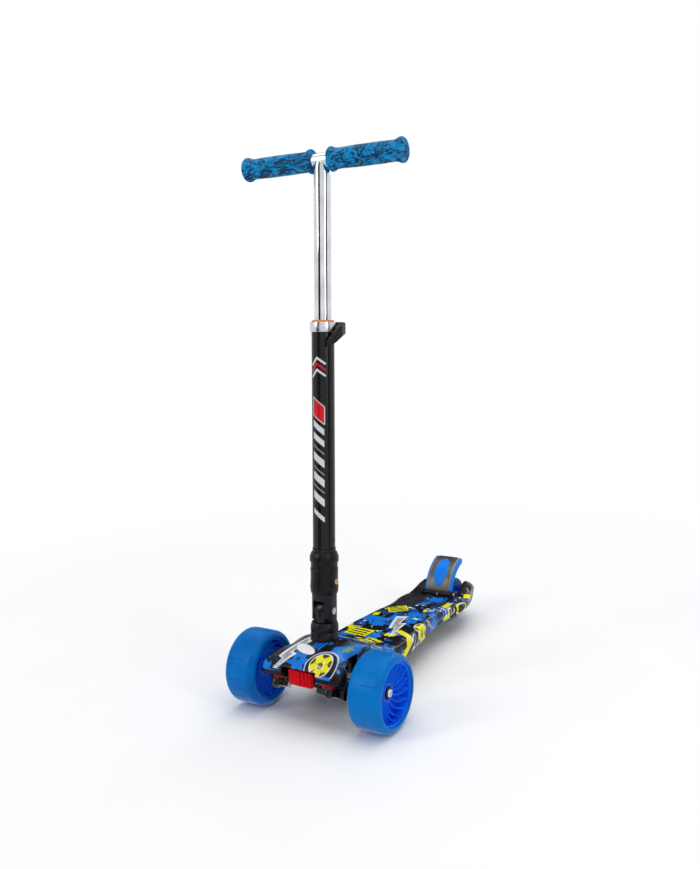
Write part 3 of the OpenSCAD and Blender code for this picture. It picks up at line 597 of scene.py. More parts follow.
def deck_print(p):
    """Colours of the printed shell at points p, in scooter coordinates."""
    x, y, z = p.T
    below = np.maximum(0, spline(EDGE, y) - z) * np.clip((y - 90) / 40, 0, 1)
    film = Film(x + np.sign(x) * below, y, INK)
    splashed(film, 7)
    top = np.clip((y - 62) / 14, 0, 1)
    hood_print(film, p, 1 - top)
    # A charcoal field on one side toward the tail, with faint lines, and a dark tail
    field = np.clip((12 * np.sin(y / 26) - 12 - x) / 2, 0, 1) * np.clip((y - 296) / 3, 0, 1)
    film.lay(field, "1c1d20")
    for k in range(6):
        scribble(film, -62, 310 + 18 * k, 13, 6, "3a3c42", 0.9, where=field)
    for star in ((-15, 220, 22, 18, 20), (24, 286, 22, 20, -20), (66, 296, 18, 26, 0),
                 (12, 394, 22, 24, 10), (60, 86, 12, 20, -20), (86, 386, 6, 16, 0)):
        motif(film, STAR, *star, BLUE, INK, where=top, ragged=3)
    tail = np.clip((y - 436 + 6 * cloud(x, y, 9, 3)) / 3, 0, 1)
    film.lay(tail, INK)
    for k in range(4):
        scribble(film, 40 + 3 * k, 432 + 14 * k, 9, 6, "aeb2b8", 0.9, where=top)
    for tile in ((-26, 172, 22, 18, -8, 3), (12, 132, 15, 24, -28, 3), (-20, 302, 19, 18, 35, 3),
                 (72, 350, 14, 12, 0, 0), (56, 442, 7, 7, 20, 0), (-43, 262, 6, 9, 10, 0),
                 (46, 374, 6, 18, 4, 0), (80, 400, 3, 15, 4, 0)):
        barred(film, *tile, where=top)
    hatched_bolt(film, 22, 220, 26, 48, 22, where=top)
    film.stroke([(38, 200), (64, 188), (88, 148), (82, 134)], YELLOW, 12, where=top)
    ball(film, 66, 238, 17, where=top)
    for cx, cy, step in ((50, 196, 12), (26, 330, 10), (40, 352, 7), (-20, 116, 11), (10, 90, 9)):
        scribble(film, cx, cy, step, 7, WHITE, 1.6, where=top)
    for k in range(6):
        motif(film, STAR, 57 + 4 * k, 272 + 9 * k, 3.5, 3.5, 15 * k, YELLOW, where=top)
    film.stroke([(66 + 7 * u, 398 + 17 * v) for u, v in DISC + DISC[:1]], YELLOW, 4.4, where=top)
    return film.ink


def hood_print(film, p, where):
    """The hood's figures, on a film draped from the nose up to the collar."""
    x, y, z = p.T
    hood = Film(x, z + 0.35 * y, INK)
    hood.ink = film.ink
    hood.lay(where * np.clip((50 - x) / 6, 0, 1) * np.clip((128 - hood.y) / 6, 0, 1), INK)
    # Dark lobe with blue specks and a rough blue foot
    low = np.clip((84 - hood.y) / 4, 0, 1) * np.clip((-44 - x) / 6, 0, 1)
    hood.splash(12, 58, 0.5, BLUE, where=where * low)
    hood.splash(5, 23, 0.74, BLUE, where=where * np.clip((-34 - x) / 4, 0, 1))
    # Zigzag, with blue stars beside it
    motif(hood, STAR, -6, 88, 22, 20, 10, BLUE, where=where, ragged=2)
    motif(hood, STAR, -8, 92, 4, 4, 0, INK, where=where, ragged=1)
    motif(hood, STAR, 8, 120, 18, 16, 0, BLUE, where=where)
    for k in range(4):
        hood.stroke([(-6 + 7 * k, 106), (2 + 6 * k, 126)], INK, 2.2, where=where)
    hatched_bolt(hood, -32, 92, 20, 36, -22, where=where)
    # Ball on the other lobe, with pale streaks round it
    motif(hood, TILE, 46, 106, 12, 16, 10, BLUE, INK, where=where, ragged=1.5)
    motif(hood, STAR, 48, 114, 6, 6, 0, "7cae3a", where=where, ragged=1)
    motif(hood, DISC, 34, 84, 25, 24, 0, INK, "d0dcea", where=where)
    ball(hood, 33, 88, 17, where=where)
    motif(hood, TILE, 44, 68, 13, 5, 8, BLUE, where=where, ragged=1)
    motif(hood, TILE, 18, 66, 7, 4, -10, "dcd8d4", where=where, ragged=1)
    scribble(hood, 12, 72, 8, 7, WHITE, 0.9, where=where)
    # A blank oval badge
    motif(hood, DISC, -8, 107, 20, 6, -10, "f2f2f4", "8b8f98", 0.7, where=where)
    film.ink = hood.ink


# ---- Deck ----

# Along the length: half width, height of the middle, of the edge and of the rim, and squareness
HALF = [[-53, 62], [-50, 68], [-44, 72], [-30, 73], [-15, 66], [0, 56], [20, 57], [45, 61], [75, 64],
        [110, 66], [160, 68], [200, 66], [250, 60.5], [290, 56.5], [325, 55], [355, 58], [385, 64],
        [408, 65.5], [435, 63], [460, 57], [485, 50], [502, 44], [512, 40]]
MID = [[-53, 92], [-50, 96], [-40, 105], [-20, 113], [5, 117.5], [35, 117], [60, 109], [80, 97],
       [100, 86], [125, 76], [150, 71], [240, 70.5], [290, 69.25], [303, 68], [416, 57], [428, 55.85],
       [445, 60], [462, 70], [480, 75], [495, 70], [512, 58]]
EDGE = [[-53, 80], [-44, 85], [-20, 90], [20, 92], [50, 86], [80, 76], [110, 67], [150, 60], [290, 58],
        [350, 53], [416, 48.5], [435, 50], [460, 58], [480, 60], [512, 50]]
RIM = [[-53, 79], [-20, 78], [30, 62], [60, 51], [90, 44], [130, 42], [430, 42], [470, 40], [495, 42],
       [512, 48]]
SQUARE = [[-53, 2.6], [40, 2.4], [90, 3], [150, 5], [420, 5], [512, 3]]
SHELL, NOSE, TAIL, COLUMNS = 2.6, -53, 512, 190
SOCKET_Y, SOCKET_R = 14.5, 22.4


def spline(keys, y):
    """Smooth curve through (place, value) keys, level at both ends."""
    k = np.array(keys, float)
    slope = np.zeros(len(k))
    slope[1:-1] = (k[2:, 1] - k[:-2, 1]) / (k[2:, 0] - k[:-2, 0])
    i = np.clip(np.searchsorted(k[:, 0], y, side="right") - 1, 0, len(k) - 2)
    h = k[i + 1, 0] - k[i, 0]
    t = (y - k[i, 0]) / h
    return ((2 * t ** 3 - 3 * t ** 2 + 1) * k[i, 1] + (t ** 3 - 2 * t ** 2 + t) * h * slope[i]
            + (3 * t ** 2 - 2 * t ** 3) * k[i + 1, 1] + (t ** 3 - t ** 2) * h * slope[i + 1])


def deck_section(y, columns):
    """One ring of the shell at y, as evenly spaced points from one rim over the top to the other."""
    half, edge, mid, rim, power = (float(spline(k, np.array(y))) for k in (HALF, EDGE, MID, RIM, SQUARE))
    a = np.linspace(0, math.pi, 721)
    cos, sin = np.cos(a), np.clip(np.sin(a), 0, 1)
    x = half * np.sign(cos) * np.abs(cos) ** (2 / power)
    z = edge + (mid - edge) * sin ** (2 / power)
    x = np.concatenate([[half - 1.5], x, [1.5 - half]])
    z = np.concatenate([[rim], z, [rim]])
    run = np.concatenate([[0], np.cumsum(np.hypot(np.diff(x), np.diff(z)))])
    even = np.linspace(0, run[-1], columns)
    return np.stack([np.interp(even, run, x), np.full(columns, y), np.interp(even, run, z)], -1)


def cut_box(bm, low, high):
    """Cuts a box-shaped opening, with clean edges, out of an open skin."""
    span = [(low[k], high[k]) for k in range(3)]
    for axis in range(3):
        for value in span[axis]:
            near = [f for f in bm.faces
                    if all(span[k][0] - 4 < f.calc_center_bounds()[k] < span[k][1] + 4 for k in range(3))]
            edges = list({e for f in near for e in f.edges})
            verts = list({v for f in near for v in f.verts})
            normal = [0, 0, 0]
            normal[axis] = 1
            place = [0, 0, 0]
            place[axis] = value
            bmesh.ops.bisect_plane(bm, geom=near + edges + verts, plane_co=place, plane_no=normal,
                                   dist=0.01)
    inside = [f for f in bm.faces
              if all(span[k][0] < f.calc_center_median()[k] < span[k][1] for k in range(3))]
    bmesh.ops.delete(bm, geom=inside, context="FACES")


def deck_shell():
    """The printed shell: a skin with its openings cut out, given its wall, and then printed."""
    verts, faces = grid(np.array([deck_section(y, COLUMNS) for y in np.linspace(NOSE, TAIL, 440)]))
    # Close the nose and the tail with their own flat faces
    bm = bmesh.new()
    made = [bm.verts.new(v) for v in verts]
    for f in faces:
        bm.faces.new([made[k] for k in f])
    for row in (made[:COLUMNS], made[-COLUMNS:]):
        for k in range(COLUMNS // 2 - 1):
            bm.faces.new([row[k], row[k + 1], row[-k - 2], row[-k - 1]])
    bmesh.ops.recalc_face_normals(bm, faces=bm.faces)
    # Openings for the rear wheel, the tie rod and the two steering arms
    cut_box(bm, (-34.3, 420, 0), (34.3, 560, 200))
    cut_box(bm, (-31, -70, 0), (31, -14, 94))
    cut_box(bm, (-100, -26, 0), (-36, 28, 99.5))
    cut_box(bm, (36, -26, 0), (100, 28, 99.5))
    # Round hole for the stem socket
    tilt = math.tan(math.radians(5))

    def off_socket(p):
        return p.x, p.y - SOCKET_Y - tilt * p.z

    for f in [f for f in bm.faces if math.hypot(*off_socket(f.calc_center_median())) < SOCKET_R
              and f.calc_center_median().z > 90]:
        bm.faces.remove(f)
    for v in [v for v in bm.verts if not v.link_faces]:
        bm.verts.remove(v)
    for v in bm.verts:
        if v.is_boundary and v.co.z > 95:
            dx, dy = off_socket(v.co)
            r = math.hypot(dx, dy)
            if 20 < r < 25:
                v.co.x = dx * SOCKET_R / r
                v.co.y = SOCKET_Y + tilt * v.co.z + dy * SOCKET_R / r
    # Seat of the grip pad, a shallow tray
    for v in bm.verts:
        if abs(v.co.x) < 34 and v.co.z > 54 and 300 < v.co.y < 419:
            d = outside(PAD_OUTLINE, np.array([v.co.x]), np.array([v.co.y]))[0]
            v.co.z -= 1.0 * min(1.0, max(0.0, (1.2 - d) / 1.2))
    for v in bm.verts:
        v.co = (SCOOTER @ v.co) * MM
    mesh = bpy.data.meshes.new("deck")
    bm.to_mesh(mesh)
    bm.free()
    obj = bpy.data.objects.new("deck_build", mesh)
    bpy.context.scene.collection.objects.link(obj)
    mesh.materials.append(PRINT)
    mesh.materials.append(ROUGH_BLACK)
    wall = obj.modifiers.new("wall", "SOLIDIFY")
    wall.thickness = SHELL * MM
    wall.offset = -1
    wall.material_offset = 1
    mesh = baked(obj)
    mesh.materials.clear()
    deck = finished("printed_deck", mesh, PRINT, "chassis", ("deck_shell",), 40, (ROUGH_BLACK,))
    painted(deck.data, deck_print(places(deck.data, SCOOTER)))


PAD_OUTLINE = [(-20, 303), (20, 303), (32, 317), (29, 406), (24, 416), (-24, 416), (-29, 406), (-32, 317)]


def grip_pad():
    """The pad in its seat: it carries on the shell's print, with fine ribs and rounded edges."""
    low, high, columns = 303.3, 415.7, 76
    sides = np.array([(303, 20), (317, 32), (406, 29), (416, 24)], float)
    rows = []
    for y in np.linspace(low, high, 170):
        half = np.interp(y, sides[:, 0], sides[:, 1]) - 0.3
        base = 68 - 11 * (y - 303) / 113
        x = np.linspace(-half, half, columns)
        rim = np.clip(np.minimum(half - np.abs(x), min(y - low, high - y) + 0.15) / 1.0, 0, 1)
        rib = np.clip(1.6 * np.cos(2 * math.pi * (y + 0.4 * np.abs(x)) / 4.2), -1, 1)
        rib = 0.3 * rib * np.clip(rim * 4 - 3, 0, 1)
        top = np.stack([x, np.full(columns, y), base + 0.1 + 0.9 * np.sqrt(rim) + rib], -1)
        under = np.stack([x[::-1], np.full(columns, y), np.full(columns, base - 0.9)], -1)
        rows.append(np.concatenate([top, under]))
    pad = piece("grip_pad_look", capped(np.array(rows)), SCOOTER, PRINT, "chassis", ("grip_pad",), smooth=50)
    painted(pad.data, deck_print(places(pad.data, SCOOTER)))


# ---- Wheels ----

def tyre_shell(radius, half, inner, shoulder, segments, rear=False):
    """A solid tyre with grooves cut round and across its tread."""
    right = [(radius - shoulder + shoulder * math.sin(t), half - shoulder + shoulder * math.cos(t))
             for t in np.radians(np.linspace(0, 90, 15))]
    tread = [(radius, s) for s in np.linspace(half - shoulder, shoulder - half, 30 if rear else 64)[1:-1]]
    left = [(r, -s) for r, s in right[::-1]]
    wall = [(r, half) for r in np.linspace(inner + 0.4, radius - shoulder, 6)[:-1]]
    bore = [(inner, s) for s in np.linspace(0.4 - half, half - 0.4, 8)]
    profile = np.array(wall + right + tread + left + [(r, -s) for r, s in wall[::-1]] + bore)

    def shape(r, a):
        s = np.repeat(profile[:, 1:2], a.shape[1], 1)
        on = np.clip((r - (radius - 0.75 * shoulder)) / 2, 0, 1)
        cut = np.zeros_like(r)
        groove = 0.5 if rear else 0.72
        for place in (groove, -groove):
            cut = np.maximum(cut, 0.6 * np.clip(1.3 - np.abs(s - place * half) / 0.8, 0, 1))
        crown = 0.5 * (s / half) ** 2
        if rear:
            return r - on * (cut + crown)
        # A front tyre also has lines across its tread and notches along its edges
        pitch = 2 * math.pi / 6
        for low, high, turn_by in ((-0.72, 0.2, 0.0), (-0.2, 0.72, 0.5)):
            off = np.abs((a / pitch + turn_by) % 1 - 0.5) * pitch * radius
            across = np.clip(1.3 - off / 0.8, 0, 1) * ((s > low * half) & (s < high * half))
            cut = np.maximum(cut, 0.8 * across)
        teeth = np.abs((a * 15 / math.pi) % 1 - 0.5) * math.pi / 15 * radius
        notch = np.clip(1.6 - np.abs(teeth - 0.2 * radius * math.pi / 15), 0, 1)
        edge = (np.abs(s) > 0.76 * half) & (np.abs(s) < 0.9 * half)
        cut = np.maximum(cut, 0.35 * notch * edge)
        return r - on * (cut + crown)

    return turned(profile, segments, closed=True, shape=shape)


def blade(angle, face, swept, r0, r1, depth0, depth1, thick=1.9):
    """A thin curved blade from the hub to the rim, standing on the web."""
    rows = []
    for t in np.linspace(0, 1, 17):
        r = r0 + (r1 - r0) * t
        a = angle + swept * (t - 0.35 * math.sin(math.pi * t))
        top = depth0 + (depth1 - depth0) * t ** 1.6
        w = thick / 2 / r
        ring = rounded([(-w * r, 1.2, 0), (w * r, 1.2, 0), (w * r * 0.72, top), (-w * r * 0.72, top)], 0.5, 2)
        rows.append([(r * math.cos(a + q / r), r * math.sin(a + q / r), face * h) for q, h in ring])
    return capped(np.array(rows))


def socketed(profile, edge, segments, reach, across):
    """A turned screw head; the points nearer the middle than reach form a six-sided socket."""
    def shape(r, a):
        return np.where(r < reach, r * across / np.cos((a + math.pi / 6) % (math.pi / 3) - math.pi / 6), r)

    return turned(rounded(profile, edge, 3, closed=False), segments, shape=shape)


def wheel_core(side):
    name = "left" if side > 0 else "right"
    rim = rounded([(CORE_R, 24.5), (CORE_R - 1.2, 25.2), (45.4, 24), (45, 21), (45, -21), (45.4, -24),
                   (CORE_R - 1.2, -25.2), (CORE_R, -24.5)], 0.7, 3)
    hub = rounded([(11.02, 5, 0.2), (11.02, 12.4), (13.6, 12.9), (16, 11), (16.6, 4), (17.6, -4), (16, -11),
                   (13.6, -12.9), (11.02, -12.4), (11.02, -5, 0.2), (9, -5), (9, 5)], 0.8, 3)
    web = rounded([(16.2, 1.6, 0), (45.6, 1.6, 0), (45.6, -1.6, 0), (16.2, -1.6, 0)], 0.5, 2)
    dish = rounded([(15.4, 1.4, 0), (15.6, 6.2), (22, 3.0), (36, 2.2), (45.8, 8.5), (45.8, 1.4, 0)], 2.2, 4)
    shells = [turned(rim, 192, True), turned(hub, 96, True), turned(web, 96, True), turned(dish, 128, True)]
    for k in range(18):
        shells.append(blade(2 * math.pi * k / 18, 1, math.radians(20), 15.6, 45.6, 11.4, 22.0, 1.6))
    for k in range(16):
        shells.append(blade(2 * math.pi * k / 16, -1, math.radians(-24), 15.6, 45.6, 10.5, 20.0))
    wheel = "front_wheel_" + name
    piece("core_" + name + "_look", joined(*shells), HUB, CORE, wheel, ("wheel_core_" + name,),
          mirror=side < 0, smooth=40)
    piece("tyre_" + name + "_look", tyre_shell(WHEEL_R, TYRE_HALF, CORE_R, 10, 540), HUB, TYRE, wheel,
          ("tyre_" + name,), mirror=side < 0, smooth=60)
    # Bearings: outer ring, shield and inner ring
    ring = [(11, 0.1), (11, 6.9), (9.4, 6.9), (9.2, 6.3), (6.6, 6.3), (6.4, 6.9), (4.1, 6.9), (4.1, 0.1)]
    race = [turned(rounded([(r, z + s * h) for r, h in ring], 0.3, 2), 72, True)
            for z, s in ((5, 1), (-5, -1))]
    piece("bearings_" + name + "_look", joined(*race), HUB, DARK_STEEL, wheel, ("bearings_" + name,),
          mirror=side < 0)
    head = socketed([(6.5, 12.2, 0.2), (6.5, 15.4), (5.2, 16.5), (3.4, 16.5, 0.3), (3.2, 14, 0.2),
                     (0.02, 13.8, 0)], 0.8, 72, 3.5, 0.882)
    shank = rod(3.98, -49, 13, 0.4)
    piece("axle_" + name + "_look", joined(head, shank), HUB, CHROME, "knuckle_" + name, ("axle_" + name,),
          mirror=side < 0)
    washer = turned(rounded([(9.5, 12.25), (9.5, 13.4), (6.52, 13.4), (6.52, 12.25)], 0.3, 2), 72, True)
    piece("washer_" + name + "_look", washer, HUB, DARK_STEEL, "knuckle_" + name, ("axle_nut_" + name,),
          mirror=side < 0)


def rear_wheel():
    piece("rear_tyre_look", tyre_shell(REAR_R, REAR_HALF, 28, 6, 300, rear=True), REAR_HUB, REAR_BLUE,
          "rear_wheel", ("rear_tyre",), smooth=60)
    rim = rounded([(28, 17), (27.4, 18), (25.2, 17.4), (25, 15), (25, -15), (25.2, -17.4), (27.4, -18),
                   (28, -17)], 0.6, 3)
    hub = rounded([(11.02, 13.4, 0.2), (11.02, 19.6), (13, 19.8), (14, 18), (14, -18), (13, -19.8),
                   (11.02, -19.6), (11.02, -13.4, 0.2), (9, -13), (9, 13)], 0.6, 3)
    web = rounded([(13.6, 2), (25.6, 2), (25.6, -2), (13.6, -2)], 0.5, 2)
    shells = [turned(rim, 128, True), turned(hub, 72, True), turned(web, 96, True)]
    for k in range(10):
        for face in (1, -1):
            shells.append(blade(2 * math.pi * k / 10, face, math.radians(18), 13.4, 25.6, 14.0, 15.5, 1.8))
    piece("rear_core_look", joined(*shells), REAR_HUB, CORE, "rear_wheel", ("rear_wheel_core",), smooth=40)


# ---- Handlebar ----

def grip(side):
    """Ribbed rubber grip with a flange at each end and a closed end cap."""
    outline = rounded([(11.02, 16.7, 0.2), (17.6, 16.7), (18.6, 17.6), (18.6, 19.6), (17.2, 21.6), (15.6, 25),
                       (15.2, 34), (15.9, 60), (15.9, 100), (15.3, 124), (16.2, 131), (18.2, 134.6),
                       (18.6, 136), (18.6, 138.6), (17.4, 139.9), (0.02, 139.9, 0)], 1.6, 4, closed=False)
    run = np.concatenate([[0], np.cumsum(np.hypot(*np.diff(outline, axis=0).T))])
    fine = np.linspace(0, run[-1], 330)
    profile = np.column_stack([np.interp(fine, run, outline[:, 0]), np.interp(fine, run, outline[:, 1])])

    def shape(r, a):
        z = np.repeat(profile[:, 1:2], a.shape[1], 1)
        body = np.clip((z - 23) / 3, 0, 1) * np.clip((130 - z) / 3, 0, 1) * (r > 13)
        rib = 0.22 * np.cos(2 * math.pi * z / 2.4) * np.clip(1.4 * np.abs(np.sin(18 * a)), 0, 1)
        return r + body * (rib - 0.1)

    bore = np.array([[0.02, 136.6], [11.02, 136.6], [11.02, 17.2]])

    def shape_full(r, a):
        out = r.copy()
        out[len(bore):] = shape(r[len(bore):], a)
        return out

    name = "grip_left" if side > 0 else "grip_right"
    piece(name + "_look", turned(np.vstack([bore, profile]), 180, shape=shape_full), BAR, GRIP,
          "handlebar", (name,), mirror=side < 0, smooth=60)


def handlebar():
    bar = turned(rounded([(9.5, -136.5), (11, -136.5), (11, 136.5), (9.5, 136.5)], 0.5, 3), 96, True)
    low = 504
    post = turned(rounded([(11.25, low), (SLIDER_R, low), (SLIDER_R, BAR_S - 9, 3), (11.6, BAR_S - 1, 2),
                           (9.8, BAR_S - 1)], 0.6, 4), 128, True)
    weld = []
    for t in np.linspace(0, 2 * math.pi, 96, endpoint=False):
        y = 11.0 * math.sin(t) * 0.985
        x = SLIDER_R * math.cos(t)
        z = BAR_S - math.sqrt(max(0.0, 11.0 ** 2 - y * y))
        out = np.array([math.cos(t), math.sin(t) * 0.7, -0.55])
        out /= np.linalg.norm(out)
        up = np.cross(out, [-math.sin(t), math.cos(t), 0])
        up /= np.linalg.norm(up)
        bead = 1.5 + 0.12 * math.sin(24 * t)
        weld.append([(x, y, z) + bead * (math.cos(b) * out + math.sin(b) * up)
                     for b in np.linspace(0, 2 * math.pi, 10, endpoint=False)])
    shells = [moved(bar, shift(0, 0, BAR_S) @ ALONG_X), post, grid(np.array(weld), True, True)]
    piece("t_bar_look", joined(*shells), STEM, CHROME, "handlebar", ("t_bar",), smooth=40)


# ---- Stem ----

def tube_print(p):
    """Colours of the lower tube: black lacquer with a slanted band of plain bars down its front."""
    x, y, s = p.T
    film = Film(TUBE_R * np.arctan2(-x, -y), s, "0a0b0d")
    middle, half, slant = -2.0, 9.5, 15
    for low, high, colour, rim in TUBE_MARKS:
        bar = [(middle - half, low), (middle + half, low + slant), (middle + half, high + slant),
               (middle - half, high)]
        film.shape(bar, colour, rim, 1.3, soft=0.35)
    for k in range(3):
        film.stroke([(middle - 11, 530 + 9 * k), (middle + 2, 539 + 9 * k), (middle + 11, 528 + 9 * k)],
                    TUBE_RED if k % 2 else TUBE_WHITE, 3.2, soft=0.35)
    return film.ink


TUBE_RED, TUBE_WHITE, TUBE_GREY = "d20a14", "dcdee2", "8d9197"
# Each bar's lower and upper end, colour and edge colour
TUBE_MARKS = [(456, 482, TUBE_RED, TUBE_WHITE), (438, 448, TUBE_WHITE, None), (420, 430, TUBE_WHITE, None),
              (408, 411, TUBE_GREY, None), (388, 400, TUBE_WHITE, None), (376, 379, TUBE_GREY, None),
              (358, 370, TUBE_WHITE, None), (348, 351, TUBE_GREY, None), (328, 340, TUBE_WHITE, None),
              (304, 312, TUBE_WHITE, None)]


def stem():
    """The lower tube with its print, its bush, and the lock sleeve with its screw."""
    wall = [(15.5, TUBE_TOP - 1), (15.5, TUBE_LOW + 1)]
    outer = [(TUBE_R, s) for s in np.linspace(TUBE_LOW + 0.8, TUBE_TOP - 0.8, 560)]
    profile = np.array([(TUBE_R - 0.8, TUBE_LOW + 0.05)] + outer + [(TUBE_R - 0.8, TUBE_TOP - 0.05)] + wall)
    tube = piece("lower_tube_look", turned(profile, 200, True), STEM, TUBE, "stem", ("outer_tube",),
                 smooth=45)
    painted(tube.data, tube_print(places(tube.data, STEM)))
    bush = rounded([(12.85, 575), (15.4, 575), (15.4, TUBE_TOP + 0.05, 0.1),
                    (TUBE_R - 0.2, TUBE_TOP + 0.05), (TUBE_R - 0.2, TUBE_TOP + 2.2),
                    (15.5, TUBE_TOP + 3.15), (12.85, TUBE_TOP + 3.15)], 0.4, 3)
    piece("bush_look", turned(bush, 96, True), STEM, ORANGE, "stem", ("guide_bush",))
    sleeve = [(19.85, 190.1), (20.6, 190.1), (21.7, 194), (22.3, 202), (21.9, 204), (21.5, 215), (21.6, 227),
              (22.15, 228.2), (21.9, 230), (21.1, 231), (21.0, 235), (21.1, 239), (22.7, 241), (22.75, 245),
              (22.7, 249), (21.4, 252.4), (19.6, 256), (18.7, 256), (18.7, 242), (19.85, 242)]
    piece("sleeve_look", turned(rounded(sleeve, 0.7, 3), 128, True), STEM, SATIN, "fold_sleeve",
          ("fold_sleeve",), smooth=30)
    head = socketed([(4.6, 21.3, 0.2), (4.6, 22.9), (3.9, 23.35), (2.3, 23.35, 0.2), (2.2, 22.1, 0.1),
                     (0.02, 22.0, 0)], 0.5, 48, 2.4, 0.88)
    piece("sleeve_screw_look", joined(head, rod(2.4, 2, 21.5)), STEM @ shift(0, 0, 210) @ ALONG_X, BRASS,
          "fold_sleeve", ("sleeve_screw",))


# ---- Brake ----

def arc_plate(outline, start, end, steps, narrow=0.0):
    """Sweeps a closed (x, radius) outline round the fender's arc, from start to end in degrees."""
    rows = []
    for t in np.linspace(0, 1, steps):
        a = math.radians(start + (end - start) * t)
        pull = 1 - narrow * (max(0.0, abs(2 * t - 1) - 0.72) / 0.28) ** 3
        rows.append([(x * pull, r * math.cos(a), r * math.sin(a)) for x, r in outline])
    return capped(np.array(rows))


def brake():
    arc = SCOOTER @ shift(0, ARC_Y, ARC_Z)
    e, r = FENDER_HALF, FENDER_R
    outline = [(-e, r - 10, 0.8), (-e, r + 0.3, 1.6), (-e + 4, r - 0.2, 1), (e - 4, r - 0.2, 1),
               (e, r + 0.3, 1.6), (e, r - 10, 0.8), (e - 2.6, r - 10, 0.8), (e - 2.8, r - 3.4, 2),
               (-e + 2.8, r - 3.4, 2), (-e + 2.6, r - 10, 0.8)]
    shells = [arc_plate(rounded(outline, 1, 3), 99.6, 170.5, 70)]
    rib = rounded([(-8, r - 3.6), (8, r - 3.6), (8, r - 17), (-8, r - 17)], 1, 3)
    shells.append(arc_plate(rib, 107, 123, 16))
    piece("fender_look", joined(*shells), arc, FENDER, "brake", ("brake_fender",), smooth=45)
    rise = [(-24.2, r - 0.1), (-24, r + 0.8), (-21.6, r + 1.5)]
    crown = [(x, r + 1.5 + 0.28 * (1 - (x / 21.6) ** 2)) for x in np.linspace(-18, 18, 9)]
    cover = np.array(rise + crown + [(-x, q) for x, q in rise[::-1]])
    piece("cover_look", arc_plate(cover, 100.5, 166, 90, 0.1), arc, PLATE, "brake", ("brake_cover",),
          smooth=45)
    # Oval insert with ribs across it
    rows = []
    for t in np.linspace(-1, 1, 130):
        ang = math.radians(134 + 25 * t)
        half = 13 * math.sqrt(max(0.0, 1 - t * t)) + 0.02
        rib = 0.35 * np.clip(1.8 * math.cos(t * 38.0), -1, 1) * (1 if abs(t) < 0.86 else 0)
        ring = rounded([(-half, r + 1.6, 0), (-half, r + 2.4), (half, r + 2.4), (half, r + 1.6, 0)], 0.5, 3)
        lift = [rib if abs(x) < 0.8 * half and q > r + 2 else 0 for x, q in ring]
        rows.append([(x, (q + up) * math.cos(ang), (q + up) * math.sin(ang))
                     for (x, q), up in zip(ring, lift)])
    piece("insert_look", capped(np.array(rows)), arc, FENDER, "brake", ("brake_insert",), smooth=40)
    # Dark hinge barrel with its screw
    pin = SCOOTER @ shift(0, 428, 61) @ ALONG_X
    barrel = [turned(rounded([(3.05, z0), (6.4, z0), (6.4, z1), (3.05, z1)], 0.8, 3), 64, True)
              for z0, z1 in ((-27.4, -9.1), (9.1, 27.4))]
    middle = turned(rounded([(5.6, -9), (6.2, -8.4), (6.2, 8.4), (5.6, 9), (5.4, 8.8), (5.4, -8.8)],
                            0.2, 2), 64, True)
    piece("hinge_barrel_look", joined(middle, *barrel), pin, BLACK, "brake", smooth=45)
    screw = turned(rounded([(1.9, 0), (1.9, 0.9), (1.2, 1.2), (0.7, 0.5), (0.02, 0.45, 0)], 0.2, 2,
                           closed=False), 32)
    piece("hinge_screw_look", screw, SCOOTER @ shift(2, 428 - 5.9, 61.8) @ turn(90, "X"), STEEL, "brake")


def tie_rod():
    """The red tie rod: a block with ribs on its far half, wings below and an eye at each end."""
    block = rounded([(-22, 66), (-22, 89), (-19, 90), (20, 89), (22, 86), (22, 66), (19, 65), (-19, 65)],
                    1.5, 3)
    shells = [moved(slab(block, 36.3, 47.2, 1.0), turn(90, "X"))]
    for x in (-1.5, 5, 11.5, 18):
        rib = rounded([(x - 1.3, 66), (x - 1.3, 89), (x + 1.3, 89), (x + 1.3, 66)], 0.5, 2)
        shells.append(moved(slab(rib, 40, 50.0, 0.5), turn(90, "X")))
    for side in (1, -1):
        pin = shift(side * 48, -5, 80) @ turn(-30, "X") @ shift(0, -24, 0)
        eye = turned(rounded([(3.1, -28), (7.5, -28), (7.5, -22), (3.1, -22)], 0.7, 3), 64, True)
        sheet = [(0, -5.8), (0, 5.8), (-side * 40, 5.8), (-side * 40, -5.8)][::side]
        points, faces = slab(rounded(sheet, 1, 2), -27.8, -22.2, 0.8)
        points[:, 0] -= np.where(np.abs(points[:, 0]) < 5, side * 5, 0)
        shells += [moved(eye, pin), moved((points, faces), pin)]
    piece("tie_rod_look", joined(*shells), SCOOTER, RED, "steering_link", ("steering_link",), smooth=35)
    # A thick black boot on each arm, between the block and the knuckle's fork
    tilt = turn(-30, "X")
    for side, name in ((1, "left"), (-1, "right")):
        rows = []
        for t in np.linspace(0, 1, 25):
            swell = math.sin(math.pi * min(1.0, 0.08 + t * 1.02)) ** 0.25
            high, deep = (9.6 - 2.2 * t) * swell, (6.6 - 0.8 * t) * swell
            ring = rounded([(-deep, -high), (deep, -high), (deep, high), (-deep, high)], 5, 6)
            rows.append([(side * (21.8 + 15.6 * t), y, z) for y, z in ring])
        boot = moved(moved(capped(np.array(rows)), tilt), shift(0, -39.4, 73.5))
        piece("tie_rod_boot_" + name, boot, SCOOTER, CAST, "steering_link", smooth=60)


# ---- The whole object ----

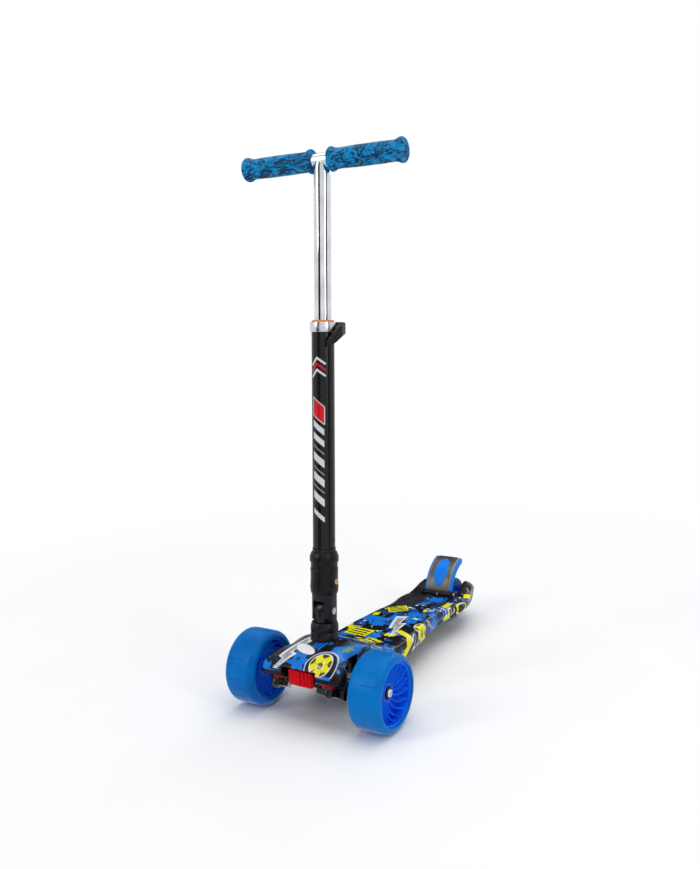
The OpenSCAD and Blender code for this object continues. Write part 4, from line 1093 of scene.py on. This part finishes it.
deck_shell()
grip_pad()
for side in (1, -1):
    wheel_core(side)
    grip(side)
rear_wheel()
handlebar()
stem()
brake()
tie_rod()
SOFT = [("bottom_cover", ROUGH_BLACK, 0.5), ("front_frame", ROUGH_BLACK, 0.8),
        ("rear_fork", ROUGH_BLACK, 0.7), ("stem_socket", SATIN, 0.5), ("lower_knuckle", CAST, 0.5),
        ("upper_knuckle", SATIN, 0.55), ("clamp_collar", POLISHED, 0.4), ("cover_screws", STEEL, 0.3),
        ("kingpins", STEEL, 0.4), ("fold_pivot_bolt", STEEL, 0.5), ("fold_pivot_nut", DARK_STEEL, 0.3),
        ("clamp_bolt", STEEL, 0.3), ("clamp_nut", STEEL, 0.3), ("lever_dowel", DARK_STEEL, 0.3),
        ("rear_axle", STEEL, 0.4), ("rear_axle_nut", STEEL, 0.3), ("brake_pin", STEEL, 0.3)]
for node, material, width in SOFT:
    softened(node, material, width)
melted("knuckle_left", CAST, 0.9, 10)
melted("knuckle_right", CAST, 0.9, 10)
melted("clamp_lever", SATIN, 0.55, 7)
# Nodes that keep their CAD shape and only get a material
REST = {"kingpin_springs": STEEL, "brake_spring": STEEL, "rear_spacers": STEEL, "knuckle_screws": DARK_STEEL,
        "lock_plunger": STEEL, "lock_spring": STEEL, "tube_plug": BLACK, "link_pin_left": STEEL,
        "link_pin_right": STEEL, "bearing_spacer_left": STEEL, "bearing_spacer_right": STEEL,
        "rear_bearings": DARK_STEEL, "brake_pad": BLACK}
for node, material in REST.items():
    mesh = frame["nodes"][node].data
    mesh.materials.clear()
    mesh.materials.append(material)

# ---- Stage ----

ground = bpy.data.meshes.new("pale_floor")
ground.from_pydata([(-12, -12, 0), (12, -12, 0), (12, 12, 0), (-12, 12, 0)], [], [(0, 1, 2, 3)])
floor = bpy.data.objects.new("pale_floor", ground)
bpy.context.scene.collection.objects.link(floor)
paper = Nodes("paper")
tone = paper.ramp(paper.noise(3, 2), [(0.3, (0.95,) * 3), (0.7, (0.98,) * 3)])
paper.link(tone, paper.shader.inputs["Base Color"])
paper.set(Roughness=0.9, Specular_IOR_Level=0.1)
# Away from the scooter the paper runs out into plain white, like a sweep of studio paper
reach = paper.add("ShaderNodeVectorMath", operation="LENGTH")
paper.link(paper.place, reach.inputs[0])
white = paper.add("ShaderNodeEmission")
seen = paper.add("ShaderNodeLightPath")
far_off = paper.add("ShaderNodeMath", operation="MULTIPLY")
paper.link(paper.remap(reach.outputs["Value"], 0, 1, 0.35, 1.3), far_off.inputs[0])
paper.link(seen.outputs["Is Camera Ray"], far_off.inputs[1])
blend = paper.add("ShaderNodeMixShader")
paper.link(far_off.outputs[0], blend.inputs[0])
paper.link(paper.shader.outputs[0], blend.inputs[1])
paper.link(white.outputs[0], blend.inputs[2])
paper.link(blend.outputs[0], paper.tree.nodes["Material Output"].inputs[0])
ground.materials.append(paper.material)
floor.visible_glossy = False


def flag(bearing, width):
    """A dark card that only reflections see: it gives the chrome its dark streak."""
    a = math.radians(bearing)
    across = Vector((math.cos(a), math.sin(a), 0)) * width / 2
    middle = Vector((1.3 * math.sin(a), -1.3 * math.cos(a), 0))
    high = Vector((0, 0, 1.6))
    corners = [middle - across, middle + across, middle + across + high, middle - across + high]
    mesh = bpy.data.meshes.new("card")
    mesh.from_pydata(corners, [], [(0, 1, 2, 3)])
    mesh.materials.append(ROUGH_BLACK)
    card = bpy.data.objects.new("card_%d" % (bearing % 360), mesh)
    bpy.context.scene.collection.objects.link(card)
    card.visible_camera = card.visible_diffuse = card.visible_shadow = card.visible_transmission = False


for bearing, width in ((-12, 0.62), (82, 0.5), (-150, 0.8)):
    flag(bearing, width)

world = bpy.data.worlds.new("studio")
bpy.context.scene.world = world
world.use_nodes = True
sky = world.node_tree
path = sky.nodes.new("ShaderNodeLightPath")
last = sky.nodes["Background"].outputs[0]
sky.nodes["Background"].inputs[0].default_value = (0.93, 0.96, 1, 1)
sky.nodes["Background"].inputs[1].default_value = 0.42
for ray_kind, strength in (("Is Glossy Ray", 0.85), ("Is Camera Ray", 1.0)):
    other = sky.nodes.new("ShaderNodeBackground")
    other.inputs[0].default_value = (1, 1, 1, 1)
    other.inputs[1].default_value = strength
    choice = sky.nodes.new("ShaderNodeMixShader")
    sky.links.new(path.outputs[ray_kind], choice.inputs[0])
    sky.links.new(last, choice.inputs[1])
    sky.links.new(other.outputs[0], choice.inputs[2])
    last = choice.outputs[0]
sky.links.new(last, sky.nodes["World Output"].inputs[0])


def lamp(name, place, aim, size, watts):
    data = bpy.data.lights.new(name, "AREA")
    data.shape = "RECTANGLE"
    data.size, data.size_y = size
    data.energy = watts
    obj = bpy.data.objects.new(name, data)
    bpy.context.scene.collection.objects.link(obj)
    obj.location = place
    obj.rotation_euler = (Vector(aim) - Vector(place)).to_track_quat("-Z", "Y").to_euler()


lamp("top", (0.3, 0.2, 3.2), (0, 0, 0), (3.6, 3.6), 62)
lamp("key", (-1.5, -2.4, 1.9), (0, 0, 0.35), (0.7, 1.6), 20)
lamp("side", (2.4, -0.9, 1.4), (0, 0, 0.35), (0.4, 1.8), 12)
lamp("back", (-0.6, 2.6, 1.6), (0, 0, 0.3), (1.6, 1.0), 10)

camera = bpy.data.cameras.new("camera")
camera.lens = 38.0
camera.clip_start = 0.05
eye = bpy.data.objects.new("camera", camera)
bpy.context.scene.collection.objects.link(eye)
forward = Vector((-0.51725, 0.84067, -0.16043)).normalized()
right = forward.cross(Vector((0, 0, 1))).normalized()
up = right.cross(forward)
ROLL = -0.0491
right, up = (math.cos(ROLL) * right + math.sin(ROLL) * up, math.cos(ROLL) * up - math.sin(ROLL) * right)
turning = Matrix((right, up, -forward)).transposed().to_4x4()
eye.matrix_world = Matrix.Translation((0.7679, -1.3433, 0.6624)) @ turning
bpy.context.scene.camera = eye
bpy.context.scene.view_settings.view_transform = "Standard"
